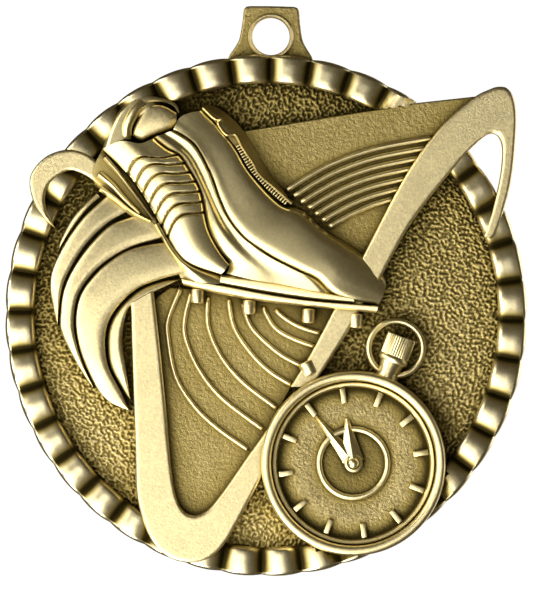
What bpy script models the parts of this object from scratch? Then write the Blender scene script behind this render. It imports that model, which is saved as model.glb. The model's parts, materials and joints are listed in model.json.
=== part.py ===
"""Sports finisher medal: a die-cast disc with a fluted rim, a ribbon loop, a running shoe,
a folded band, a lined running track and a stopwatch, each sculpted element a solid of its own.

The pieces are drawn lying face up, in millimetres from the disc's centre, with heights
measured from the flat back. An empty then stands the medal up with its face towards -Y
and the centre of the ribbon hole at the origin.
"""

import math

import bmesh
import bpy
from mathutils import Vector

MM = 0.001

# Disc and loop
DISC_RADIUS = 25.3
RIM_OUTER = 25.45
RIM_INNER = 22.55
FLUTES = 40
FLUTE_STEPS = 4
LOOP_CENTRE = (0.0, 27.2)
LOOP_HOLE_RADIUS = 1.82
LOOP_COLLAR_RADIUS = 2.3
LOOP_OUTLINE = [(4.2, 24.2), (4.08, 25.2), (3.2, 26.6), (2.95, 27.6), (2.78, 28.8), (2.68, 29.8),
                (2.35, 30.15), (-2.35, 30.15), (-2.68, 29.8), (-2.78, 28.8), (-2.95, 27.6),
                (-3.2, 26.6), (-4.08, 25.2), (-4.2, 24.2)]
GAP = 0.05
SEAM = 0.1

# Heights above the back
FIELD = 1.6
SEAT = FIELD + GAP
TAB_HEIGHT = 2.0
RIM_SEAT = 2.0
RIM_CREASE = 2.5
RIM_CREST = 3.2
PANEL_HEIGHT = 2.3
LANE_HEIGHT = 2.65
BAND_HEIGHT = 3.4
SWIRL_HEIGHTS = (3.0, 3.3, 3.6, 3.8, 3.2)
HEEL_HEIGHT = 3.0
RIDGE_HEIGHT = 3.6
SOLE_HEIGHT = 4.2
STUD_HEIGHT = 3.2
QUARTER_HEIGHT = 4.4
MUDGUARD_HEIGHT = 4.6
VAMP_HEIGHT = 4.9
COLLAR_HEIGHT = 4.0
LINING_HEIGHT = 3.4
LACE_HEIGHT = 4.1

# Stopwatch
WATCH_CENTRE = (8.75, -14.25)
WATCH_RADIUS = 9.0
WATCH_CASE_INNER = 7.95
DIAL_RADIUS = 7.85
MARK_RING_INNER = 7.35
MARK_INNER = 5.9
MARK_WIDTH = 0.5
MARK_TILT = math.radians(9.5)
HOUR_MARKS = 12
DIAL_RING = (3.08, 3.57)
LONG_HAND = (math.radians(129.5), 5.8)
SHORT_HAND = (math.radians(99.8), 4.4)
HAND_EYE_RADIUS = 0.9
HUB_RADIUS = 0.45
CROWN_DIRECTION = math.radians(70.0)
BOW_CENTRE = (12.7, -3.0)
BOW_RADIUS = 2.88
BOW_WIDTH = 0.46
DIAL_HEIGHT = 3.1
WATCH_HEIGHT = 4.2

OUTLINE_STEPS = 3
LANE_STEPS = 2
ROUND_STEPS = 64
LANE_WIDTH = 0.42

# Lines drawn from point to point, in millimetres from the disc's centre
SHOE_EDGE = [(-6.4, 20.3), (-5.4, 20.3), (-3.6, 19.1), (-1.9, 17.1), (0.0, 14.0), (2.0, 11.8),
             (5.4, 8.5), (9.4, 6.1), (11.4, 4.2), (11.5, 2.6), (10.9, 1.1)]
LACE_LINE = [(-6.4, 19.8), (-4.9, 18.3), (-3.1, 16.1), (-2.0, 14.3), (-0.7, 12.8), (0.4, 11.7),
             (2.4, 10.6)]
TONGUE_TOP = [(-9.4, 17.8), (-8.7, 19.1), (-7.6, 19.6), (-6.4, 19.8)]
VAMP_LINE = [(-9.4, 17.8), (-8.2, 17.2), (-7.0, 16.2), (-5.6, 13.6), (-4.7, 11.2), (-3.8, 9.3),
             (-2.4, 7.6), (-0.9, 6.5), (1.0, 5.4), (3.2, 4.4), (4.9, 3.6), (6.3, 2.3)]
STRAP_LINE = [(-11.2, 17.1), (-9.9, 16.1), (-8.7, 15.5), (-7.7, 14.1), (-6.9, 12.8), (-6.4, 11.4),
              (-5.8, 8.4), (-4.7, 6.2), (-3.7, 4.9)]
HEEL_LINE = [(-16.2, 15.9), (-14.5, 14.3), (-13.0, 12.7), (-11.4, 10.3), (-10.4, 8.6),
             (-8.8, 6.0), (-7.3, 4.8), (-4.5, 3.9)]
COLLAR_LINE = [(-16.2, 15.9), (-14.4, 16.7), (-12.5, 16.5), (-11.2, 17.1)]
COLLAR_EDGE = [(-16.2, 15.9), (-15.6, 17.8), (-14.6, 19.7), (-12.7, 21.2), (-10.6, 21.0),
               (-9.2, 20.5), (-8.8, 19.7)]
COLLAR_INSIDE = [(-8.8, 19.7), (-10.4, 20.5), (-12.1, 20.3), (-13.4, 18.7), (-13.7, 17.1)]
LINING = [(-13.4, 17.2), (-13.2, 18.5), (-12.0, 20.1), (-10.6, 20.3), (-9.2, 19.5), (-9.7, 18.1),
          (-11.6, 17.4)]
SOLE_TOP = [(-8.3, 3.4), (-4.6, 2.9), (-0.1, 2.1), (4.4, 1.5), (10.9, 1.1)]
SOLE_LOW = [(10.7, 0.4), (4.4, 0.9), (-0.1, 1.3), (-4.6, 2.0), (-8.1, 2.8)]
ARCH_EDGE = [(-8.3, 3.4), (-9.3, 5.6), (-11.1, 8.6)]
HEEL_EDGE = [(-11.1, 8.6), (-13.4, 9.5), (-15.2, 11.0), (-16.9, 12.4), (-17.0, 14.0),
             (-16.2, 15.9)]
RIB_GROOVES = 7
RIB_GROOVE_TOP = [(-13.6, 12.4), (-11.3, 14.1), (-7.6, 15.0)]
RIB_GROOVE_LOW = [(-10.9, 8.4), (-8.7, 10.0), (-5.2, 10.5)]
RIB_GROOVE_WIDTH = 0.18
HEEL_RIDGES = {
    "heel_ridge_upper": ([(-15.8, 14.9), (-14.7, 13.8), (-12.8, 11.4), (-11.5, 9.4)], 0.45),
    "heel_ridge_middle": ([(-16.4, 13.4), (-15.2, 12.4), (-13.9, 11.1), (-12.6, 9.8)], 0.6),
    "heel_ridge_lower": ([(-16.1, 12.1), (-15.0, 11.4), (-13.3, 9.95), (-11.9, 9.1)], 0.35),
}
STUD_PLACES = [(-6.2, 1.6), (-1.4, 0.65), (3.8, 0.0), (8.2, -0.35)]
STUD_SIZE = (1.05, 1.15)

BAND_LEFT = [(-13.2, 0.9), (-12.9, -5.5), (-12.5, -13.0), (-12.3, -17.4), (-11.7, -20.0),
             (-10.6, -22.4), (-8.9, -23.8), (-6.7, -24.2), (-4.9, -23.6), (-3.5, -22.1),
             (-2.0, -19.4), (0.3, -14.9), (0.8, -10.7), (-1.5, -13.7), (-3.5, -16.7),
             (-5.0, -18.7), (-5.9, -19.4), (-6.8, -19.6), (-7.7, -19.2), (-8.4, -18.0),
             (-8.9, -15.6), (-9.5, -10.0), (-10.2, -4.0), (-11.0, 2.2)]
BAND_LEFT_CORNERS = (0, 11, 12, 23)
BAND_MIDDLE = [(6.8, 1.1), (4.6, -3.3), (3.0, -6.3), (4.7, -7.0), (8.8, 0.0), (9.4, 1.1)]
BAND_UPPER = [(9.1, 5.5), (12.4, 12.06), (14.1, 15.05), (15.8, 17.5), (17.5, 19.5), (19.9, 21.6),
              (21.3, 22.35), (22.2, 22.65), (23.1, 22.5), (23.8, 21.4), (24.05, 19.0),
              (23.7, 14.0), (22.9, 10.4), (22.1, 8.2), (21.6, 7.9), (21.0, 8.1), (21.7, 10.0),
              (22.5, 13.5), (22.75, 16.2), (22.5, 17.5), (21.9, 18.05), (21.0, 17.8),
              (19.3, 16.2), (17.6, 14.1), (15.0, 10.7), (13.2, 7.9), (11.0, 3.6)]
BAND_UPPER_CORNERS = (0, 26)
BAND_SCROLL = [(-16.3, 14.3), (-17.9, 15.5), (-19.7, 15.8), (-21.8, 15.0), (-23.2, 13.1),
               (-22.9, 10.8), (-20.6, 8.0), (-21.5, 9.8), (-21.7, 11.3), (-21.1, 12.7),
               (-19.5, 13.7), (-18.1, 13.0), (-16.6, 11.4)]
BAND_SCROLL_CORNERS = (0, 6, 12)

UPPER_PANEL = [(-3.5, 17.72), (14.3, 20.95), (20.2, 21.75), (17.0, 16.0), (11.0, 5.0),
               (3.0, 9.0), (-2.5, 14.0)]
LOWER_PANEL = [(-9.4, 2.6), (-11.0, 1.4), (-10.5, -4.0), (-9.8, -10.0), (-9.2, -15.6),
               (-8.5, -18.6), (-6.8, -20.0), (-4.9, -19.2), (-1.0, -13.8), (2.6, -7.0),
               (7.6, 1.5)]
UPPER_LANE_TOP = [(1.6, 12.1), (5.8, 14.7), (10.3, 16.4), (16.0, 17.6)]
UPPER_LANE_LOW = [(5.8, 8.6), (8.0, 9.9), (10.1, 10.9), (12.3, 11.6)]
UPPER_LANES = 7
LOWER_LANES = [
    [(-8.3, 2.6), (-9.5, -0.5), (-9.5, -2.4), (-8.7, -6.1), (-6.8, -9.0), (-4.5, -11.1),
     (-1.4, -13.2)],
    [(-7.3, 2.2), (-7.9, -0.4), (-7.8, -2.4), (-6.5, -5.3), (-4.2, -8.1), (0.0, -11.2)],
    [(-5.7, 1.8), (-5.6, -1.2), (-4.3, -4.1), (-2.1, -6.6), (1.3, -9.1)],
    [(-3.7, 1.6), (-3.1, -1.2), (-1.4, -3.7), (0.5, -5.5), (2.7, -6.8)],
    [(-2.3, 1.2), (-1.4, -1.2), (1.2, -3.6), (3.6, -4.9)],
    [(-0.4, 0.9), (0.8, -1.1), (2.6, -2.2), (4.9, -3.0)],
    [(0.8, 0.6), (1.9, -0.3), (3.4, -1.1), (5.4, -1.7)],
]

SWIRL_EDGE_STRIP = [(-16.7, 11.6), (-17.9, 10.5), (-19.2, 8.9), (-20.2, 6.8), (-20.3, 6.0),
                    (-19.7, 7.1), (-18.3, 9.2), (-16.5, 11.2)]
SWIRL_OUTER = [(-16.2, 10.9), (-17.8, 9.4), (-19.2, 7.5), (-20.4, 5.3), (-21.0, 3.6),
               (-21.05, 2.0), (-20.7, 0.2), (-20.3, -1.4), (-20.2, 0.0), (-19.9, 2.3),
               (-18.9, 4.6), (-17.4, 6.9), (-15.5, 8.7), (-13.9, 9.6), (-15.0, 10.5)]
SWIRL_MIDDLE = [(-13.4, 9.2), (-15.4, 8.3), (-17.2, 6.5), (-18.7, 4.3), (-19.6, 2.2),
                (-19.9, -0.1), (-19.8, -2.0), (-18.6, -4.6), (-17.3, -6.6), (-16.7, -7.3),
                (-17.7, -5.2), (-18.4, -3.0), (-18.7, -0.7), (-18.3, 1.7), (-17.1, 3.6),
                (-15.5, 5.1), (-13.3, 6.4), (-10.8, 7.1), (-11.4, 8.3)]
SWIRL_INNER = [(-10.4, 6.8), (-13.1, 6.0), (-15.3, 4.7), (-16.8, 3.2), (-17.9, 1.5),
               (-18.3, -0.7), (-18.0, -3.0), (-17.3, -5.1), (-16.1, -7.4), (-15.0, -8.7),
               (-13.3, -9.5), (-14.0, -7.6), (-15.3, -5.3), (-15.6, -2.9), (-15.3, -0.9),
               (-14.2, 0.9), (-12.5, 2.4), (-10.6, 3.2), (-8.7, 3.8)]
SWIRL_LOWER = [(-8.9, 3.3), (-10.4, 2.9), (-12.3, 2.0), (-13.9, 0.5), (-14.9, -1.1),
               (-15.2, -2.9), (-14.9, -5.2), (-13.7, -7.3), (-13.1, -8.3), (-13.3, -5.8),
               (-14.0, -2.6), (-13.5, 0.1), (-12.9, 0.9), (-11.1, 2.0)]


def clear_scene():
    for obj in list(bpy.data.objects):
        bpy.data.objects.remove(obj, do_unlink=True)


def make_material(name, colour, roughness):
    material = bpy.data.materials.new(name)
    material.use_nodes = True
    shader = material.node_tree.nodes["Principled BSDF"]
    shader.inputs["Base Color"].default_value = (*colour, 1.0)
    shader.inputs["Metallic"].default_value = 1.0
    shader.inputs["Roughness"].default_value = roughness
    return material


def smooth(points, steps=OUTLINE_STEPS):
    """An open run of points on a Catmull-Rom curve through the given ones."""
    ends = [points[0], *points, points[-1]]
    run = []
    for a, b, c, d in zip(ends, ends[1:], ends[2:], ends[3:]):
        for step in range(steps):
            t = step / steps
            run.append(tuple(
                0.5 * (2 * q + (r - p) * t + (2 * p - 5 * q + 4 * r - s) * t * t
                       + (3 * q - p - 3 * r + s) * t ** 3)
                for p, q, r, s in zip(a, b, c, d)))
    return [*run, points[-1]]


def smooth_loop(points, corners=(0,)):
    """A closed run that is smooth between its corners."""
    run = []
    for first, last in zip(corners, [*corners[1:], corners[0] + len(points)]):
        part = [points[i % len(points)] for i in range(first, last + 1)]
        run += smooth(part)[:-1]
    return run


def joined(*lines):
    """One closed run from lines that follow each other, without their doubled ends."""
    run = []
    for line in lines:
        for point in line:
            if not run or math.dist(point, run[-1]) > 0.02:
                run.append(point)
    if math.dist(run[0], run[-1]) < 0.02:
        run.pop()
    return run


def circle(centre, radius, count=ROUND_STEPS):
    return arc(centre, radius, 0, math.tau, count)[:-1]


def arc(centre, radius, start, end, count):
    return [(centre[0] + radius * math.cos(start + (end - start) * i / count),
             centre[1] + radius * math.sin(start + (end - start) * i / count))
            for i in range(count + 1)]


def moved_in(outline, distance):
    """The outline moved inwards by a distance, or outwards by a negative one."""
    area = sum(a[0] * b[1] - b[0] * a[1] for a, b in zip(outline, outline[1:] + outline[:1]))
    turn = math.copysign(1, area)
    run = []
    for before, here, after in zip(outline[-1:] + outline, outline, outline[1:] + outline[:1]):
        into = (Vector(here) - Vector(before)).normalized()
        out = (Vector(after) - Vector(here)).normalized()
        side = Vector((-into.y - out.y, into.x + out.x)).normalized() * turn
        square = max(0.5, side.dot(Vector((-into.y, into.x))) * turn)
        run.append(tuple(Vector(here) + side * distance / square))
    return run


def strip(line, width, end_width=None):
    """The outline of a strip of a given width along a line."""
    end_width = width if end_width is None else end_width
    left, right = [], []
    for i, here in enumerate(line):
        along = Vector(line[min(i + 1, len(line) - 1)]) - Vector(line[max(i - 1, 0)])
        half = (width + (end_width - width) * i / (len(line) - 1)) / 2
        side = Vector((-along.y, along.x)).normalized() * half
        left.append(tuple(Vector(here) + side))
        right.append(tuple(Vector(here) - side))
    return left + right[::-1]


def between(first, second, share):
    """A line part of the way from one line to another with as many points."""
    return [tuple(a + (b - a) * share for a, b in zip(p, q)) for p, q in zip(first, second)]


def mesh_object(name, mesh, collection):
    obj = bpy.data.objects.new(name, mesh)
    collection.objects.link(obj)
    obj.parent = stand
    return obj


def slab(name, outline, low, high, material=None, holes=()):
    """A flat outline between two heights, notched where it crosses the rim's ring. Without a
    material it is a cutter."""
    curve = bpy.data.curves.new(name + "_outline", "CURVE")
    curve.dimensions = "2D"
    curve.fill_mode = "BOTH"
    curve.extrude = (high - low) / 2 * MM
    for run in [outline, *holes]:
        spline = curve.splines.new("POLY")
        spline.points.add(len(run) - 1)
        for point, (x, y) in zip(spline.points, run):
            point.co = (x * MM, y * MM, 0, 1)
        spline.use_cyclic_u = True
    flat = bpy.data.objects.new(name + "_outline", curve)
    cutters.objects.link(flat)
    flat.location.z = (low + high) / 2 * MM
    bpy.context.view_layer.update()
    evaluated = flat.evaluated_get(bpy.context.evaluated_depsgraph_get())
    mesh = bpy.data.meshes.new_from_object(evaluated)
    mesh.name = name
    place = flat.matrix_world.copy()
    bpy.data.objects.remove(flat)
    solid = bmesh.new()
    solid.from_mesh(mesh)
    bmesh.ops.remove_doubles(solid, verts=solid.verts, dist=1e-6)
    bmesh.ops.recalc_face_normals(solid, faces=solid.faces)
    solid.to_mesh(mesh)
    solid.free()
    obj = mesh_object(name, mesh, medal if material else cutters)
    obj.matrix_local = place
    if material:
        mesh.materials.clear()
        mesh.materials.append(material)
        if low == SEAT and max(math.hypot(*point) for point in outline) > RIM_INNER - GAP:
            cut(obj, rim_space)
    else:
        obj.hide_render = True
        obj.display_type = "WIRE"
    return obj


def turned(name, profile, centre, material):
    """A round piece from a closed profile of (radius, height) points, outer side first."""
    mesh = bpy.data.meshes.new(name)
    on_axis = profile[0][0] == 0
    edges = [(i, (i + 1) % len(profile)) for i in range(len(profile) - on_axis)]
    mesh.from_pydata([(r * MM, 0, h * MM) for r, h in profile], edges, [])
    mesh.materials.append(material)
    obj = mesh_object(name, mesh, medal)
    obj.location = (centre[0] * MM, centre[1] * MM, 0)
    screw = obj.modifiers.new("turn", "SCREW")
    screw.steps = ROUND_STEPS
    screw.render_steps = ROUND_STEPS
    screw.use_merge_vertices = True
    screw.merge_threshold = 1e-6
    return obj


def cut(obj, *tools):
    for tool in tools:
        boolean = obj.modifiers.new(tool.name, "BOOLEAN")
        boolean.operation = "DIFFERENCE"
        boolean.solver = "EXACT"
        boolean.object = tool
    return obj


def clearance(name, outline, low=-1.0, high=6.0):
    """A cutter that leaves the usual gap round an outline."""
    return slab("clear_" + name, moved_in(outline, -GAP), low, high)


def make_disc(tab_root):
    mesh = bpy.data.meshes.new("base_disc")
    solid = bmesh.new()
    bmesh.ops.create_cone(solid, cap_ends=True, segments=2 * ROUND_STEPS,
                          radius1=DISC_RADIUS * MM, radius2=DISC_RADIUS * MM, depth=FIELD * MM)
    bmesh.ops.translate(solid, verts=solid.verts, vec=(0, 0, FIELD / 2 * MM))
    solid.to_mesh(mesh)
    solid.free()
    mesh.materials.append(gold_field)
    cut(mesh_object("base_disc", mesh, medal), tab_root)


def make_rim(*tools):
    """A ring of rounded flutes that run from the inside of the rim to the edge."""
    section = [(RIM_INNER, SEAT, 0), (RIM_INNER, RIM_CREASE - 0.4, 0.4),
               (RIM_INNER + 0.8, RIM_CREASE, 1.0), (RIM_OUTER - 0.4, RIM_CREASE - 0.1, 0.9),
               (RIM_OUTER, RIM_CREASE - 0.7, 0.5), (RIM_OUTER, SEAT, 0)]
    steps = FLUTES * FLUTE_STEPS
    solid = bmesh.new()
    corners = [solid.verts.new((r * MM, 0, h * MM)) for r, h, swell in section]
    sides = [solid.edges.new((a, b)) for a, b in zip(corners, corners[1:] + corners[:1])]
    bmesh.ops.spin(solid, geom=corners + sides, cent=(0, 0, 0), axis=(0, 0, 1),
                   angle=math.tau, steps=steps, use_merge=True)
    for vert in solid.verts:
        turn = math.atan2(vert.co.y, vert.co.x)
        crest = abs(math.sin(turn * FLUTES / 2)) ** 0.7
        swell = min(section, key=lambda s: math.dist((s[0] * MM, s[1] * MM),
                                                     (vert.co.xy.length, vert.co.z)))[2]
        vert.co.z += swell * crest * (RIM_CREST - RIM_CREASE) * MM
    bmesh.ops.remove_doubles(solid, verts=solid.verts, dist=1e-6)
    bmesh.ops.recalc_face_normals(solid, faces=solid.faces)
    mesh = bpy.data.meshes.new("fluted_rim")
    solid.to_mesh(mesh)
    solid.free()
    mesh.materials.append(gold_rim)
    cut(mesh_object("fluted_rim", mesh, medal), *tools)


def make_loop(under_rim):
    """The tab, whose root lies in a notch of the disc under the rim, and its raised collar."""
    hole = circle(LOOP_CENTRE, LOOP_HOLE_RADIUS, 32)
    tab = slab("loop_tab", LOOP_OUTLINE, 0, TAB_HEIGHT, gold_field, [hole])
    collar = slab("loop_collar", circle(LOOP_CENTRE, LOOP_COLLAR_RADIUS, 32), TAB_HEIGHT + GAP,
                  TAB_HEIGHT + 0.35, gold_polished, [hole])
    cut(tab, under_rim)
    cut(collar, under_rim)


def make_track(shoe, watch, bands, studs):
    panel = slab("upper_track_panel", UPPER_PANEL, SEAT, PANEL_HEIGHT, gold_sanded)
    cut(panel, shoe, bands["upper"])
    panel = slab("lower_track_panel", LOWER_PANEL, SEAT, PANEL_HEIGHT, gold_sanded)
    cut(panel, shoe, watch, bands["left"], bands["middle"], *studs)
    for i in range(UPPER_LANES):
        line = between(UPPER_LANE_TOP, UPPER_LANE_LOW, i / (UPPER_LANES - 1))
        lane = slab(f"upper_lane_{i + 1}", strip(smooth(line, LANE_STEPS), LANE_WIDTH),
                    PANEL_HEIGHT + GAP, LANE_HEIGHT, gold_polished)
        cut(lane, shoe, bands["upper"])
    for i, line in enumerate(LOWER_LANES):
        lane = slab(f"lower_lane_{i + 1}", strip(smooth(line, LANE_STEPS), LANE_WIDTH),
                    PANEL_HEIGHT + GAP, LANE_HEIGHT, gold_polished)
        cut(lane, shoe, watch, bands["left" if i < 3 else "middle"], *studs)


def make_bands(outlines, shoe, watch, studs):
    left = slab("band_left", outlines["left"], SEAT, BAND_HEIGHT, gold_band)
    cut(left, shoe, watch)
    middle = slab("band_middle", outlines["middle"], SEAT, BAND_HEIGHT, gold_band)
    cut(middle, shoe, watch, *studs)
    cut(slab("band_upper", outlines["upper"], SEAT, BAND_HEIGHT, gold_band), shoe)
    cut(slab("band_scroll", outlines["scroll"], SEAT, BAND_HEIGHT, gold_band), shoe)


def make_swirls(shoe, bands):
    outlines = [SWIRL_EDGE_STRIP, SWIRL_OUTER, SWIRL_MIDDLE, SWIRL_INNER, SWIRL_LOWER]
    names = ["swirl_edge", "swirl_outer", "swirl_middle", "swirl_inner", "swirl_lower"]
    corners = [(0, 4), (0, 7), (0, 9), (0, 10), (0, 8)]
    for name, outline, corner, height in zip(names, outlines, corners, SWIRL_HEIGHTS):
        swirl = slab(name, smooth_loop(outline, corner), SEAT, height, gold_polished)
        cut(swirl, shoe, bands["left"], bands["scroll"])


def make_upper():
    """The upper of the shoe: quarter, strap, vamp, lace edge, collar and lining."""
    quarter_run = joined(smooth(COLLAR_LINE), smooth(STRAP_LINE), smooth(HEEL_LINE)[::-1])
    quarter = slab("shoe_quarter", moved_in(quarter_run, SEAM), SEAT, QUARTER_HEIGHT,
                   gold_polished)
    for i in range(RIB_GROOVES):
        line = between(RIB_GROOVE_TOP, RIB_GROOVE_LOW, i / (RIB_GROOVES - 1))
        inner = strip(smooth(line)[2:-2], RIB_GROOVE_WIDTH)
        cut(quarter, slab(f"rib_groove_{i + 1}", inner, QUARTER_HEIGHT - 0.5, 6.0))
    strap_run = joined(smooth(STRAP_LINE), [(-4.4, 3.9), (-4.5, 3.0)], smooth(SOLE_TOP)[4:10],
                       [(6.0, 1.4), (6.3, 2.3)], smooth(VAMP_LINE)[::-1], [(-10.4, 17.7)])
    slab("shoe_strap", moved_in(strap_run, SEAM), SEAT, MUDGUARD_HEIGHT, gold_polished)
    vamp_run = joined(smooth(TONGUE_TOP), smooth(LACE_LINE), smooth(SHOE_EDGE)[19:],
                      [(6.2, 1.35)], smooth(VAMP_LINE)[::-1])
    slab("shoe_vamp", moved_in(vamp_run, SEAM), SEAT, VAMP_HEIGHT, gold_polished)
    lace_run = joined(smooth(SHOE_EDGE)[:19], smooth(LACE_LINE)[::-1])
    slab("lace_edge", moved_in(lace_run, SEAM), SEAT, LACE_HEIGHT, gold_field)
    collar_run = joined(smooth(COLLAR_EDGE), smooth(COLLAR_INSIDE), smooth(COLLAR_LINE)[4::-1])
    slab("shoe_collar", moved_in(collar_run, SEAM), SEAT, COLLAR_HEIGHT, gold_polished)
    slab("shoe_lining", moved_in(smooth_loop(LINING), SEAM), SEAT, LINING_HEIGHT, gold_sanded)


def make_sole(stud_outlines):
    slab("shoe_sole", moved_in(joined(smooth(SOLE_TOP), smooth(SOLE_LOW)), GAP), SEAT,
         SOLE_HEIGHT, gold_polished)
    arch_run = joined(smooth(ARCH_EDGE), [(-10.5, 8.5)], smooth(HEEL_LINE)[13:],
                      smooth(SOLE_TOP)[3::-1])
    slab("arch_strip", moved_in(arch_run, SEAM), SEAT, SOLE_HEIGHT - 0.2, gold_polished)
    heel_run = joined(smooth(HEEL_EDGE), smooth(HEEL_LINE)[:12], [(-10.7, 8.7)])
    slab("heel_block", moved_in(heel_run, SEAM), SEAT, HEEL_HEIGHT, gold_field)
    for name, (line, width) in HEEL_RIDGES.items():
        slab(name, strip(smooth(line, LANE_STEPS), width, 0.3), HEEL_HEIGHT + GAP, RIDGE_HEIGHT,
             gold_polished)
    for i, outline in enumerate(stud_outlines):
        slab(f"stud_{i + 1}", outline, SEAT, STUD_HEIGHT, gold_polished)


def stud_outline(place):
    half, length = STUD_SIZE[0] / 2, STUD_SIZE[1]
    x, top = place
    return [(x - half, top), (x + half, top - 0.1), (x + half * 0.85, top - length),
            (x - half * 0.8, top - length)]


def hand(name, direction, length, low, material):
    """A tapering needle with a round eye over the hub."""
    tip = math.radians(3)
    eye = arc((0, 0), HAND_EYE_RADIUS, 0.35, math.tau - 0.35, 20)
    outline = [(length, -math.sin(tip)), (length, math.sin(tip)), *eye]
    turned_points = []
    for x, y in outline:
        turned_points.append((WATCH_CENTRE[0] + x * math.cos(direction) - y * math.sin(direction),
                              WATCH_CENTRE[1] + x * math.sin(direction) + y * math.cos(direction)))
    hole = circle(WATCH_CENTRE, HUB_RADIUS + GAP, 20)
    slab(name, turned_points, low, low + 0.2, material, [hole])


def mark_ring_inside():
    """The inner edge of the ring that carries the hour marks, with a tooth for each."""
    run = []
    half = MARK_WIDTH / 2 / MARK_RING_INNER
    for i in range(HOUR_MARKS):
        middle = MARK_TILT + math.tau * i / HOUR_MARKS
        narrow = MARK_WIDTH / 2 / MARK_INNER
        for radius, turn in ((MARK_RING_INNER, middle - half), (MARK_INNER, middle - narrow),
                             (MARK_INNER, middle + narrow), (MARK_RING_INNER, middle + half)):
            run += arc(WATCH_CENTRE, radius, turn, turn, 1)[:1]
        step = (math.tau / HOUR_MARKS - 2 * half) / 4
        run += arc(WATCH_CENTRE, MARK_RING_INNER, middle + half + step,
                   middle + half + 3 * step, 2)
    return run


def make_watch():
    slab("dial_plate", circle(WATCH_CENTRE, DIAL_RADIUS), SEAT, DIAL_HEIGHT, gold_sanded)
    slab("hour_mark_ring", circle(WATCH_CENTRE, DIAL_RADIUS), DIAL_HEIGHT + GAP,
         DIAL_HEIGHT + 0.4, gold_polished, [mark_ring_inside()])
    slab("dial_ring", circle(WATCH_CENTRE, DIAL_RING[1], 48), DIAL_HEIGHT + GAP,
         DIAL_HEIGHT + 0.3, gold_polished, [circle(WATCH_CENTRE, DIAL_RING[0], 48)])
    hand("long_hand", *LONG_HAND, DIAL_HEIGHT + 0.35, gold_polished)
    hand("short_hand", *SHORT_HAND, DIAL_HEIGHT + 0.6, gold_polished)
    slab("hand_hub", circle(WATCH_CENTRE, HUB_RADIUS, 20), DIAL_HEIGHT + GAP, DIAL_HEIGHT + 1.0,
         gold_polished)
    case = turned("watch_case", [(WATCH_RADIUS, WATCH_HEIGHT - 0.5), (WATCH_RADIUS, SEAT),
                                 (WATCH_CASE_INNER, SEAT), (WATCH_CASE_INNER, WATCH_HEIGHT - 0.3),
                                 (WATCH_CASE_INNER + 0.3, WATCH_HEIGHT),
                                 (WATCH_RADIUS - 0.4, WATCH_HEIGHT)], WATCH_CENTRE, gold_polished)
    cut(case, rim_space)


def along_crown(points):
    """Points given along and across the crown's direction, placed from the watch's centre."""
    forward = Vector((math.cos(CROWN_DIRECTION), math.sin(CROWN_DIRECTION)))
    side = Vector((forward.y, -forward.x))
    return [tuple(Vector(WATCH_CENTRE) + forward * up + side * over) for up, over in points]


def make_crown(outlines):
    slab("crown", outlines["crown"], SEAT, 3.9, gold_polished)
    slab("crown_neck", outlines["neck"], SEAT, 3.5, gold_polished)
    start, end = CROWN_DIRECTION - math.radians(150), CROWN_DIRECTION + math.radians(150)
    outer = arc(BOW_CENTRE, BOW_RADIUS, start, end, 32)
    inner = arc(BOW_CENTRE, BOW_RADIUS - BOW_WIDTH, end, start, 32)
    slab("bow_ring", outer + inner, SEAT, 3.0, gold_polished)
    slab("pusher", outlines["pusher"], SEAT, 3.6, gold_polished)


def build():
    outlines = {
        "left": smooth_loop(BAND_LEFT, BAND_LEFT_CORNERS),
        "middle": BAND_MIDDLE,
        "upper": smooth_loop(BAND_UPPER, BAND_UPPER_CORNERS),
        "scroll": smooth_loop(BAND_SCROLL, BAND_SCROLL_CORNERS),
        "crown": along_crown([(11.2, -1.5), (13.2, -1.45), (13.2, 1.45), (11.2, 1.5)]),
        "neck": along_crown([(9.1, -0.55), (9.8, -0.5), (11.1, -1.0), (11.1, 1.0), (9.8, 0.5),
                             (9.1, 0.55)]),
        "pusher": [(3.3, -4.7), (4.5, -4.1), (5.2, -5.35), (3.9, -6.0)],
    }
    shoe_run = joined(smooth(SHOE_EDGE), smooth(SOLE_LOW), smooth(ARCH_EDGE), smooth(HEEL_EDGE),
                      smooth(COLLAR_EDGE), [(-7.8, 19.7)])
    stud_outlines = [stud_outline(place) for place in STUD_PLACES]

    shoe = clearance("shoe", shoe_run)
    watch = clearance("watch", circle(WATCH_CENTRE, WATCH_RADIUS))
    pusher = clearance("pusher", outlines["pusher"])
    studs = [clearance(f"stud_{i + 1}", run) for i, run in enumerate(stud_outlines)]
    bands = {name: clearance("band_" + name, outlines[name])
             for name in ("left", "middle", "upper", "scroll")}
    over_rim = [clearance(name, run, RIM_SEAT) for name, run in (
        ("rim_shoe", shoe_run), ("rim_panel", UPPER_PANEL), ("rim_left", outlines["left"]),
        ("rim_upper", outlines["upper"]), ("rim_scroll", outlines["scroll"]),
        ("rim_watch", circle(WATCH_CENTRE, WATCH_RADIUS)))]

    make_disc(clearance("loop_root", LOOP_OUTLINE))
    make_rim(*over_rim)
    make_loop(clearance("rim_edge", circle((0, 0), RIM_OUTER, 2 * ROUND_STEPS), FIELD))
    make_bands(outlines, shoe, watch, [*studs, pusher])
    make_track(shoe, watch, bands, [*studs, pusher])
    make_swirls(shoe, bands)
    make_upper()
    make_sole(stud_outlines)
    make_watch()
    make_crown(outlines)


clear_scene()
medal = bpy.data.collections.new("finisher_medal")
cutters = bpy.data.collections.new("cutters")
bpy.context.scene.collection.children.link(medal)
bpy.context.scene.collection.children.link(cutters)

stand = bpy.data.objects.new("medal_stand", None)
medal.objects.link(stand)
stand.location = (0, TAB_HEIGHT / 2 * MM, -LOOP_CENTRE[1] * MM)
stand.rotation_euler = (math.radians(90), 0, 0)

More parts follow.
